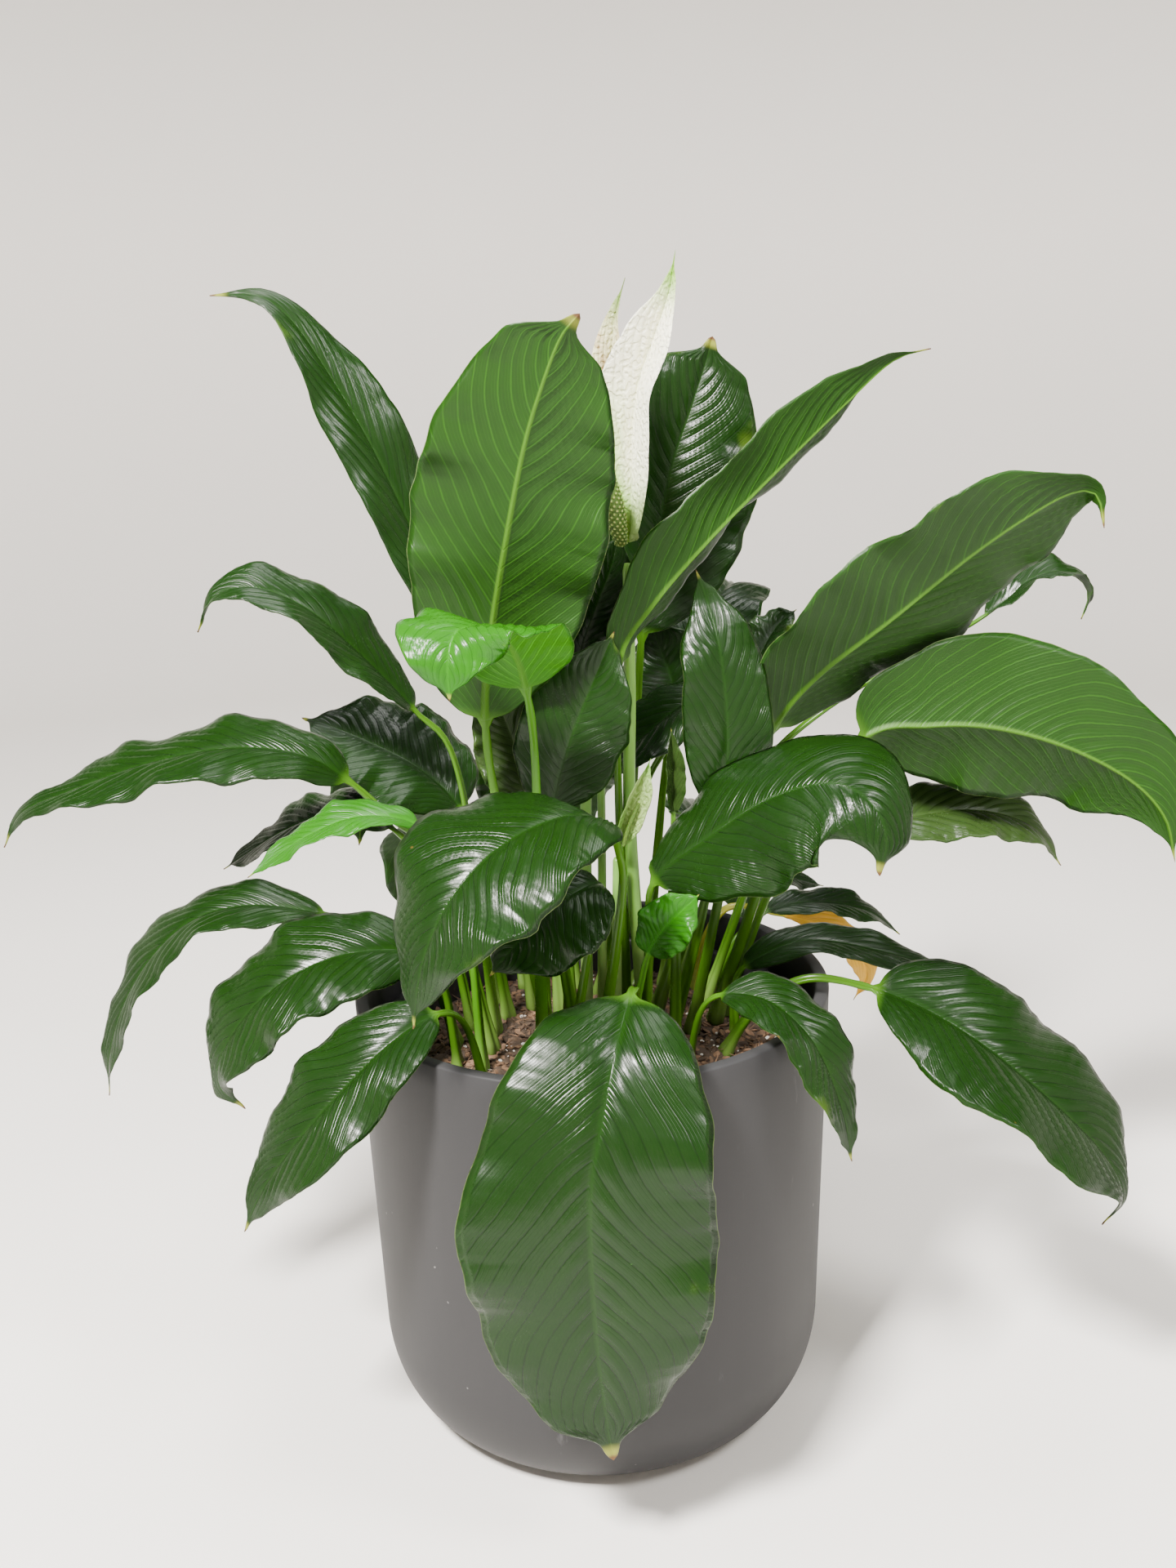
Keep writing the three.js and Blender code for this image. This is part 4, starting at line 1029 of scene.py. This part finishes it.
def smooth_route(points, count, joint=0):
    """Evenly spaced points on a smooth curve through the given ones, and the share of it before joint."""
    spots = [Vector(point) for point in points]
    ends = [2 * spots[0] - spots[1], *spots, 2 * spots[-1] - spots[-2]]
    fine = []
    for before, start, end, after in zip(ends, ends[1:], ends[2:], ends[3:]):
        lead, trail = (end - before) / 2, (after - start) / 2
        for k in range(SAMPLES_BETWEEN_POINTS):
            t = k / SAMPLES_BETWEEN_POINTS
            fine.append(
                start + lead * t + (-3 * start + 3 * end - 2 * lead - trail) * t ** 2
                + (2 * start - 2 * end + lead + trail) * t ** 3
            )
    fine.append(spots[-1])
    lengths = [0.0]
    for first, second in zip(fine, fine[1:]):
        lengths.append(lengths[-1] + (second - first).length)
    route = []
    place = 0
    for i in range(count):
        target = lengths[-1] * i / (count - 1)
        while place < len(fine) - 2 and lengths[place + 1] < target:
            place += 1
        span = lengths[place + 1] - lengths[place]
        route.append(fine[place].lerp(fine[place + 1], min((target - lengths[place]) / span, 1.0)))
    return route, lengths[joint * SAMPLES_BETWEEN_POINTS] / lengths[-1]


def blended_direction(directions, share):
    place = share * (len(directions) - 1)
    first = min(int(place), max(len(directions) - 2, 0))
    second = min(first + 1, len(directions) - 1)
    return Vector(directions[first]).lerp(Vector(directions[second]), place - first).normalized()


def route_mesh(petiole, blade, face):
    """A line of points along the petiole and the midrib, each with the way its upper side faces.

    Gives the mesh and the share of its length that is petiole.
    """
    rising = [(*petiole[0], STALK_START_Z), *petiole[1:]] if petiole else []
    route, share = smooth_route([*rising, *blade], ROUTE_POINTS, len(rising))
    last = len(route) - 1
    mesh = bpy.data.meshes.new("route")
    mesh.from_pydata([point * MM for point in route], [(i, i + 1) for i in range(last)], [])
    facing = mesh.attributes.new("face", "FLOAT_VECTOR", "POINT")
    side = None
    for i in reversed(range(len(route))):
        along = (route[min(i + 1, last)] - route[max(i - 1, 0)]).normalized()
        on_blade = (i / last - share) / (1 - share)
        if on_blade >= 0:
            side = along.cross(blended_direction(face, on_blade)).normalized()
        else:  # below the blade the petiole turns with its route and never twists
            side = (side - along * side.dot(along)).normalized()
        facing.data[i].vector = side.cross(along)
    return mesh, share


def leaf_tree():
    """Grows one leaf along its route: a channelled petiole that becomes the midrib of a ribbed blade.

    A grid is rolled into a tube: its length follows the route, and its width goes once round the leaf,
    first over the upper side and then back underneath.
    """
    tree, given = new_tree("leaf", [
        ("Petiole Share", "Float", 0.5), ("Rows", "Int", 130), ("Around", "Int", 72), ("Width", "Float", 0.1),
        ("Widest", "Float", 0.42), ("Fold", "Float", 0.2), ("Curl", "Float", -0.3), ("Wave", "Float", 0.003),
        ("Waves", "Float", 3.0), ("Vein Pairs", "Float", 13.0), ("Vein Sweep", "Float", 0.2),
        ("Relief", "Float", 0.0008), ("Base Radius", "Float", 0.0044), ("Rib Radius", "Float", 0.0022),
        ("Thickness", "Float", 0.0006), ("Phase", "Float", 0.0), ("Petiole Rows", "Float", PETIOLE_ROWS),
        ("Tail", "Float", 0.5), ("Material", "Material", None),
    ])
    grid = step(
        tree, "GeometryNodeMeshGrid", size_x=1.0, size_y=1.0,
        vertices_x=given["Rows"], vertices_y=given["Around"],
    )
    x, y, _ = components(position(tree))
    row = x + 0.5
    turn = (y + 0.5) * 4.0

    # Where the row lies: share a of the blade, and factor of the whole route
    stem_rows = given["Petiole Rows"]
    stem = smaller(row / stem_rows, 1.0)
    a = larger((row - stem_rows) / (1.0 - stem_rows), 0.0)
    factor = stem * given["Petiole Share"] + a * (1.0 - given["Petiole Share"])
    curve = step(tree, "GeometryNodeMeshToCurve", mesh=given["Geometry"])
    centre, tangent, face = sampled(tree, curve, factor)
    side = unit(cross(tangent, face))
    up = unit(cross(side, tangent))

    # Which way round the tube: across runs from one edge to the other, crowded towards the midrib
    below = calculate("GREATER_THAN", turn, 2.0)
    raw = between(1.0 - turn, turn - 3.0, below)
    across = sign_of(raw) * size_of(raw) ** 1.5
    off = size_of(across)

    # Outline
    on_blade = eased(a, 0.0, 0.035)
    widest = given["Widest"]
    tip_power = BASE_POWER * (1.0 - widest) / widest
    peak = widest ** BASE_POWER * (1.0 - widest) ** tip_power
    outline = a ** BASE_POWER * larger(1.0 - a, 0.0) ** tip_power / peak
    outline = outline * (1.0 - given["Tail"] * eased(a, 0.7, 0.94)) * (1.0 - 0.72 * eased(a, 0.9, 0.965))
    lobes = noise(tree, combined(tree, a * 2.4, sign_of(across) * 2.0, given["Phase"]), 2.0, 2.0) - 0.5
    outline = outline * (1.0 + lobes * 0.34 * eased(off, 0.3, 1.0))
    sheath = 1.0 + 0.5 * eased(stem, 0.16, 0.0) + 0.16 * eased(size_of(stem - 0.93), 0.06, 0.0)
    stem_radius = between(given["Base Radius"], given["Rib Radius"], stem) * sheath
    radius = stem_radius * (1.0 - 0.72 * a)
    ends_open = calculate("GREATER_THAN", row, 0.0001) * calculate("LESS_THAN", row, 0.9999)
    half = larger(given["Width"] * 0.5 * outline, radius * (1.0 - 0.7 * eased(a, 0.9, 1.0))) * ends_open

    # The two halves rise from the midrib and bend on towards the edges
    slope = (given["Fold"] + given["Curl"] * off * 0.5) * on_blade
    reach = across * half
    lateral = reach * cosine(slope)
    rise = size_of(reach) * sine(slope)
    side_phase = given["Phase"] + sign_of(across) * 1.3
    long_wave = sine(a * given["Waves"] * math.tau + side_phase)
    short_wave = sine(a * given["Waves"] * 15.0 + side_phase * 3.0) * 0.4
    rise = rise + given["Wave"] * (long_wave + short_wave) * off ** 2.0 * sine(a * math.pi) ** 0.6

    # Side veins leave the midrib and sweep forward to the edge; the blade swells between them
    which_half = sign_of(across)
    wander = noise(tree, combined(tree, a * 3.0, which_half * 2.0 + given["Phase"], 0.0), 1.6, 1.0) - 0.5
    vein = (a - given["Vein Sweep"] * off ** 1.15) * given["Vein Pairs"] + wander * 1.6 + which_half * 0.2
    ripple = cosine(vein * math.tau)
    groove = calculate("EXPONENT", (ripple - 1.0) * 2.5)
    vein_place = combined(tree, vein * 0.37, which_half * 3.0 + given["Phase"], off)
    uneven = 0.55 + noise(tree, vein_place, 2.0, 1.0) * 0.9
    beside_rib = eased(size_of(reach) / radius, 1.2, 6.0)
    fade = (1.0 - off ** 6.0) * eased(half, 0.004, 0.02) * on_blade * beside_rib
    relief = given["Relief"] * (0.8 - ripple * 0.8 - groove * 0.9) * uneven * fade
    edge_lift = noise(tree, combined(tree, a * 9.0, which_half + given["Phase"], 0.0), 3.0, 2.0) - 0.5
    relief = relief + edge_lift * given["Wave"] * 0.8 * off ** 3.0 * on_blade

    # Thickness: a thin blade, and a rib that stands out underneath
    lamina = given["Thickness"] * 0.5 * (1.0 - off ** 6.0) ** 0.5
    rib_distance = size_of(reach) / larger(radius, 0.00001)
    rib = radius * (1.0 - smaller(rib_distance, 1.0) ** 2.0) ** 0.5 * ends_open
    channel = radius * calculate("EXPONENT", rib_distance ** 2.0 * -0.5)
    above_petiole = rib * (0.55 - 0.25 * calculate("EXPONENT", (across ** 2.0) * -6.0))
    above_blade = lamina - channel * 0.4 * ends_open
    over = between(above_petiole, above_blade, on_blade)
    under = -larger(lamina, rib)
    offset = between(over, under, below)
    spot = total(centre, scaled(side, lateral), scaled(up, (rise + relief) * ends_open + offset))

    coordinates = combined(tree, between(stem - 1.0, a, calculate("GREATER_THAN", a, 0.0)), across, below)
    geometry = store(tree, grid, "leaf", coordinates, "FLOAT_VECTOR")
    geometry = store(tree, geometry, "rib", rib_distance)
    geometry = store(tree, geometry, "vein", vein)
    geometry = step(tree, "GeometryNodeSetPosition", geometry=geometry, position=spot)
    geometry = step(tree, "GeometryNodeMergeByDistance", geometry=geometry, distance=0.000004)
    geometry = step(tree, "GeometryNodeSetShadeSmooth", geometry=geometry)
    end_tree(tree, geometry, given["Material"])
    return tree


def spadix_swell(share):
    """How wide a spadix is along its length, as a share of its widest."""
    return 0.45 + 0.55 * sine(math.pi * between(0.12, 0.94, share))


def spadix_tree():
    """Winds small domed florets round a tapering core, each turned by the golden angle."""
    tree, given = new_tree("spadix", [
        ("Florets", "Int", 220), ("Radius", "Float", 0.0065), ("Material", "Material", None),
    ])
    curve = step(tree, "GeometryNodeMeshToCurve", mesh=given["Geometry"])
    line = step(tree, "GeometryNodeMeshLine", count=given["Florets"])
    index = Field(tree, tree.nodes.new("GeometryNodeInputIndex").outputs[0])
    share = (index + 0.5) / given["Florets"]
    centre, tangent = sampled(tree, curve, share)[:2]
    across = unit(cross(tangent, combined(tree, 0.0, -1.0, 0.0)))
    deep = cross(tangent, across)
    angle = index * GOLDEN_ANGLE
    radius = given["Radius"] * spadix_swell(share)
    out = total(scaled(across, cosine(angle)), scaled(deep, sine(angle)))
    spots = step(
        tree, "GeometryNodeSetPosition", geometry=line, position=total(centre, scaled(out, radius * 0.84)),
    )
    bead = step(tree, "GeometryNodeMeshIcoSphere", radius=1.0, subdivisions=2)
    domed = store(tree, bead, "tip", components(position(tree))[2])
    turned = step(tree, "FunctionNodeAlignRotationToVector", vector=out)
    turned.socket.node.axis = "Z"
    size = radius * 0.2
    florets = step(
        tree, "GeometryNodeInstanceOnPoints", points=spots, instance=domed, rotation=turned,
        scale=combined(tree, size, size, size * 0.95),
    )
    ring = step(tree, "GeometryNodeCurvePrimitiveCircle", radius=1.0, resolution=20)
    spline_share = Field(tree, tree.nodes.new("GeometryNodeSplineParameter").outputs["Factor"])
    core_radius = given["Radius"] * spadix_swell(spline_share) * 0.86
    thick = step(tree, "GeometryNodeSetCurveRadius", curve=curve, radius=core_radius)
    tube = step(
        tree, "GeometryNodeCurveToMesh", curve=thick, profile_curve=ring, fill_caps=True,
        scale=Field(tree, tree.nodes.new("GeometryNodeInputRadius").outputs[0]),
    )
    core = store(tree, tube, "tip", -1.0)
    smooth = step(tree, "GeometryNodeSetShadeSmooth", geometry=joined(tree, (florets, core)))
    end_tree(tree, smooth, given["Material"])
    return tree


def stalk_mesh(points, radius, sides, material):
    """A round stalk that is a little thicker at its foot, closed at both ends."""
    start = (*points[0], STALK_START_Z)
    line, _ = smooth_route([start, *points[1:]], ROUTE_POINTS)
    last = len(line) - 1
    turns = [k * math.tau / sides for k in range(sides)]
    rings = []
    for i, centre in enumerate(line):
        along = (line[min(i + 1, last)] - line[max(i - 1, 0)]).normalized()
        side = along.cross(Vector((0, -1, 0))).normalized()
        up = side.cross(along)
        share = i / last
        size = radius * (1.25 - 0.3 * share) * (1 if share < 0.99 else 0.7)
        rings.append([(centre + size * (side * math.cos(t) + up * math.sin(t))) * MM for t in turns])
    return skinned("stalk", rings, sides, material)


# ---------------------------------------------------------------- settings


def millimetres(name, description, default):
    return FloatProperty(name=name, description=description, default=default, min=0.0, precision=2)


def metres(name, description, default):
    return FloatProperty(name=name, description=description, default=default, unit="LENGTH", precision=5)


def colour(name, description, default):
    return FloatVectorProperty(
        name=name, description=description, default=default, subtype="COLOR", min=0.0, max=1.0,
    )


class PlanterSettings(bpy.types.PropertyGroup):
    low_radius: millimetres("Low Radius", "Outside radius where the rounded bottom begins, in mm", 143.5)
    wall: millimetres("Wall", "Thickness of the wall, in mm", 8.5)
    floor: millimetres("Floor", "Height of the inside floor, in mm", 11.5)
    round_across: millimetres("Round Across", "How far the rounded bottom reaches inwards, in mm", 45)
    round_up: millimetres("Round Up", "How far the rounded bottom reaches up, in mm", 65)
    tint: colour("Tint", "Colour of the wall", (0.027, 0.0268, 0.028))


class NurserySettings(bpy.types.PropertyGroup):
    ribs: IntProperty(name="Ribs", description="Upright ribs round the wall", default=48, min=0)
    rib_depth: metres("Rib Depth", "How deep a rib is pressed in", 0.0009)


class SoilSettings(bpy.types.PropertyGroup):
    chips: IntProperty(name="Bark Chips", description="Chips of bark on top", default=2600, min=0)
    fibres: IntProperty(name="Fibres", description="Twigs of fibre on top", default=900, min=0)
    perlite: IntProperty(name="Perlite", description="Pale grains on top", default=300, min=0)
    chip_size: metres("Chip Size", "Length of a usual chip", 0.0065)
    seed: IntProperty(name="Seed", description="Changes where everything lies", default=7)


class LeafSettings(bpy.types.PropertyGroup):
    rows: IntProperty(name="Rows", description="Rows of points along a leaf", default=150, min=20)
    around: IntProperty(name="Around", description="Points once round a leaf", default=73, min=13)
    wave: metres("Wave", "Height of the waves along an edge", 0.0042)
    waves: FloatProperty(name="Waves", description="Waves along one edge", default=2.6)
    vein_pairs: FloatProperty(name="Vein Pairs", description="Side veins on a large blade", default=18.0)
    vein_sweep: FloatProperty(name="Vein Sweep", description="Share a vein leans forward", default=0.3)
    relief: metres("Relief", "How high the blade swells between veins", 0.0006)
    base_radius: metres("Base Radius", "Radius of a petiole at the soil", 0.0044)
    rib_radius: metres("Rib Radius", "Radius of the midrib where the blade begins", 0.0022)
    thickness: metres("Thickness", "Thickness of a blade", 0.0009)
    gloss: FloatProperty(name="Roughness", description="Roughness of the glossy upper side", default=0.19)
    seed: IntProperty(name="Seed", description="Changes the waves of every leaf", default=11)


class FlowerSettings(bpy.types.PropertyGroup):
    florets: IntProperty(name="Florets", description="Florets on the largest spadix", default=230, min=10)
    stalk_sides: IntProperty(name="Stalk Sides", description="Sides of a flower stalk", default=24, min=6)
    body: colour("Spathe", "Colour of the open spathe", (0.9, 0.87, 0.68))
    flush: colour("Flush", "Green of the spathe's base, midrib and tip", (0.2, 0.4, 0.03))


class StageSettings(bpy.types.PropertyGroup):
    floor: colour("Floor", "Colour of the floor and the backdrop", (0.86, 0.83, 0.79))
    key_power: FloatProperty(name="Key Light", description="Watts of the main soft light", default=230.0)
    fill_power: FloatProperty(name="Fill Light", description="Watts of the second soft light", default=35.0)
    ambient: FloatProperty(name="Ambient", description="Strength of the light from all round", default=0.1)
    lens: FloatProperty(name="Lens", description="Focal length in mm on a 36 mm sensor", default=36.4)


# ---------------------------------------------------------------- operators


class PEACELILY_OT_planter(bpy.types.Operator):
    """Makes the outer planter"""

    bl_idname = "peacelily.planter"
    bl_label = "Planter"

    def execute(self, context):
        shape = context.scene.peacelily_planter
        material = planter_material(shape.tint)
        piece(turned_profile("planter", planter_profile(shape), 256, material), "planter")
        return {"FINISHED"}


class PEACELILY_OT_nursery_pot(bpy.types.Operator):
    """Makes the ribbed nursery pot that stands inside the planter"""

    bl_idname = "peacelily.nursery_pot"
    bl_label = "Nursery Pot"

    def execute(self, context):
        shape = context.scene.peacelily_nursery
        material = nursery_material()
        wall = turned_profile("nursery_wall", nursery_profile(), 384, material)
        mesh = grown(wall, ribbed_tree(), {
            "Ribs": shape.ribs,
            "Depth": shape.rib_depth,
            "Low": (NURSERY_FOOT_Z + 30) * MM,
            "High": (NURSERY_RIM_Z - 12) * MM,
            "Material": material,
        })
        piece(mesh, "nursery_pot")
        return {"FINISHED"}


class PEACELILY_OT_soil(bpy.types.Operator):
    """Makes the potting mix with its litter of bark, fibre and perlite"""

    bl_idname = "peacelily.soil"
    bl_label = "Potting Mix"

    def execute(self, context):
        shape = context.scene.peacelily_soil
        material = soil_material()
        mesh = grown(soil_base_mesh(material), soil_tree(), {
            "Chips": shape.chips,
            "Fibres": shape.fibres,
            "Perlite": shape.perlite,
            "Chip Size": shape.chip_size,
            "Seed": shape.seed,
            "Material": material,
        })
        piece(mesh, "potting_soil")
        return {"FINISHED"}


class PEACELILY_OT_leaves(bpy.types.Operator):
    """Grows every leaf from the table, each with its petiole"""

    bl_idname = "peacelily.leaves"
    bl_label = "Leaves"

    def execute(self, context):
        shape = context.scene.peacelily_leaves
        tree = leaf_tree()
        dice = random.Random(shape.seed)
        materials = {}
        for leaf in LEAVES:
            finish = leaf.get("finish", "leaf")
            if finish not in materials:
                materials[finish] = leaf_material(name=finish, gloss=shape.gloss, **LEAF_FINISHES[finish])
            route, share = route_mesh(leaf["petiole"], leaf["blade"], leaf["face"])
            size = leaf["width"] / LARGE_LEAF_WIDTH
            mesh = grown(route, tree, {
                "Petiole Share": share,
                "Rows": shape.rows,
                "Around": shape.around,
                "Width": leaf["width"] * MM,
                "Widest": leaf.get("widest", USUAL_WIDEST),
                "Tail": leaf.get("tail", USUAL_TAIL),
                "Fold": math.radians(leaf["fold"]),
                "Curl": math.radians(leaf["curl"]),
                "Wave": shape.wave * (0.4 + 0.6 * size),
                "Waves": shape.waves + dice.uniform(-0.7, 0.7),
                "Vein Pairs": shape.vein_pairs * (0.55 + 0.45 * size),
                "Vein Sweep": shape.vein_sweep,
                "Relief": shape.relief * (0.4 + 0.6 * size),
                "Base Radius": shape.base_radius,
                "Rib Radius": shape.rib_radius * (0.6 + 0.4 * size),
                "Thickness": shape.thickness,
                "Phase": dice.uniform(0.0, math.tau),
                "Material": materials[finish],
            })
            piece(mesh, leaf["name"])
        return {"FINISHED"}


class PEACELILY_OT_flowers(bpy.types.Operator):
    """Grows every flower: its stalk, its spathe and its spadix"""

    bl_idname = "peacelily.flowers"
    bl_label = "Flowers"

    def execute(self, context):
        shape = context.scene.peacelily_flowers
        stalk_skin = stalk_material()
        floret_skin = spadix_material()
        blade_tree, floret_tree = leaf_tree(), spadix_tree()
        finishes = {
            "white_spathe": spathe_material("white_spathe", shape.body, SPATHE_VEINS, shape.flush, 0.0),
            "aged_spathe": spathe_material("aged_spathe", *SPATHE_FINISHES["aged_spathe"]),
            "bright_leaf": spathe_material("young_spathe", *SPATHE_FINISHES["bright_leaf"]),
        }
        for number, flower in enumerate(FLOWERS):
            name = flower["name"]
            stalk = stalk_mesh(flower["stalk"], flower["stalk_radius"], shape.stalk_sides, stalk_skin)
            piece(stalk, f"{name}_stalk")
            route, _ = route_mesh(None, flower["spathe"], flower["face"])
            mesh = grown(route, blade_tree, {
                **SPATHE_GROWTH,
                "Width": flower["spathe_width"] * MM,
                "Fold": math.radians(flower["spathe_fold"]),
                "Wave": SPATHE_WAVE * flower["spathe_width"] / LARGE_SPATHE_WIDTH,
                "Phase": number * 1.7,
                "Material": finishes[flower["finish"]],
            })
            piece(mesh, f"{name}_spathe")
            line, _ = route_mesh(None, flower["spadix"], [[0, -1, 0]])
            count = round(shape.florets * flower["spadix_radius"] / LARGE_SPADIX_RADIUS)
            florets = grown(line, floret_tree, {
                "Florets": max(LEAST_FLORETS, count),
                "Radius": flower["spadix_radius"] * MM,
                "Material": floret_skin,
            })
            piece(florets, f"{name}_spadix")
        return {"FINISHED"}


class PEACELILY_OT_stage(bpy.types.Operator):
    """Sets the floor, the backdrop, the lights and the camera"""

    bl_idname = "peacelily.stage"
    bl_label = "Stage"

    def execute(self, context):
        shape = context.scene.peacelily_stage
        material = stage_material("stage_paper", shape.floor, 0.6)
        bowl = bpy.data.objects.new("stage_bowl", turned_profile("stage_bowl", stage_profile(), 96, material))
        context.scene.collection.objects.link(bowl)
        for name, place, size, power, tint in LIGHTS:
            lamp = bpy.data.lights.new(name, "AREA")
            lamp.energy = getattr(shape, power)
            lamp.size = size
            lamp.color = tint
            holder = bpy.data.objects.new(name, lamp)
            holder.location = place
            aim = Vector(LIGHT_AIM) - Vector(place)
            holder.rotation_euler = aim.to_track_quat("-Z", "Y").to_euler()
            context.scene.collection.objects.link(holder)
        world = bpy.data.worlds.new("soft_surround")
        world.use_nodes = True
        background = world.node_tree.nodes["Background"]
        background.inputs["Color"].default_value = (0.95, 0.97, 1.0, 1.0)
        background.inputs["Strength"].default_value = shape.ambient
        context.scene.world = world
        lens = bpy.data.cameras.new("camera")
        lens.lens = shape.lens
        camera = bpy.data.objects.new("camera", lens)
        camera.location = Vector(CAMERA_PLACE) * MM
        tilt = Matrix.Rotation(math.radians(90 - CAMERA_PITCH), 4, "X")
        roll = Matrix.Rotation(math.radians(CAMERA_ROLL), 4, "Z")
        camera.rotation_euler = (tilt @ roll).to_euler()
        context.scene.collection.objects.link(camera)
        context.scene.camera = camera
        return {"FINISHED"}


class PEACELILY_PT_panel(bpy.types.Panel):
    """Buttons and sizes for every piece"""

    bl_idname = "PEACELILY_PT_panel"
    bl_label = "Peace Lily"
    bl_space_type = "VIEW_3D"
    bl_region_type = "UI"
    bl_category = "Peace Lily"

    def draw(self, context):
        for operator, settings_name, _ in STEPS:
            box = self.layout.box()
            box.operator(operator.bl_idname)
            settings = getattr(context.scene, settings_name)
            for key in settings.__annotations__:
                box.prop(settings, key)


# Every operator in the order it runs, with the scene property that holds its settings
STEPS = (
    (PEACELILY_OT_planter, "peacelily_planter", PlanterSettings),
    (PEACELILY_OT_nursery_pot, "peacelily_nursery", NurserySettings),
    (PEACELILY_OT_soil, "peacelily_soil", SoilSettings),
    (PEACELILY_OT_leaves, "peacelily_leaves", LeafSettings),
    (PEACELILY_OT_flowers, "peacelily_flowers", FlowerSettings),
    (PEACELILY_OT_stage, "peacelily_stage", StageSettings),
)


def register():
    for operator, settings_name, settings in STEPS:
        bpy.utils.register_class(settings)
        bpy.utils.register_class(operator)
        setattr(bpy.types.Scene, settings_name, PointerProperty(type=settings))
    bpy.utils.register_class(PEACELILY_PT_panel)


def unregister():
    bpy.utils.unregister_class(PEACELILY_PT_panel)
    for operator, settings_name, settings in reversed(STEPS):
        delattr(bpy.types.Scene, settings_name)
        bpy.utils.unregister_class(operator)
        bpy.utils.unregister_class(settings)


def main():
    register()
    bpy.ops.peacelily.planter()
    bpy.ops.peacelily.nursery_pot()
    bpy.ops.peacelily.soil()
    bpy.ops.peacelily.leaves()
    bpy.ops.peacelily.flowers()
    bpy.ops.peacelily.stage()


if __name__ == "__main__":
    main()
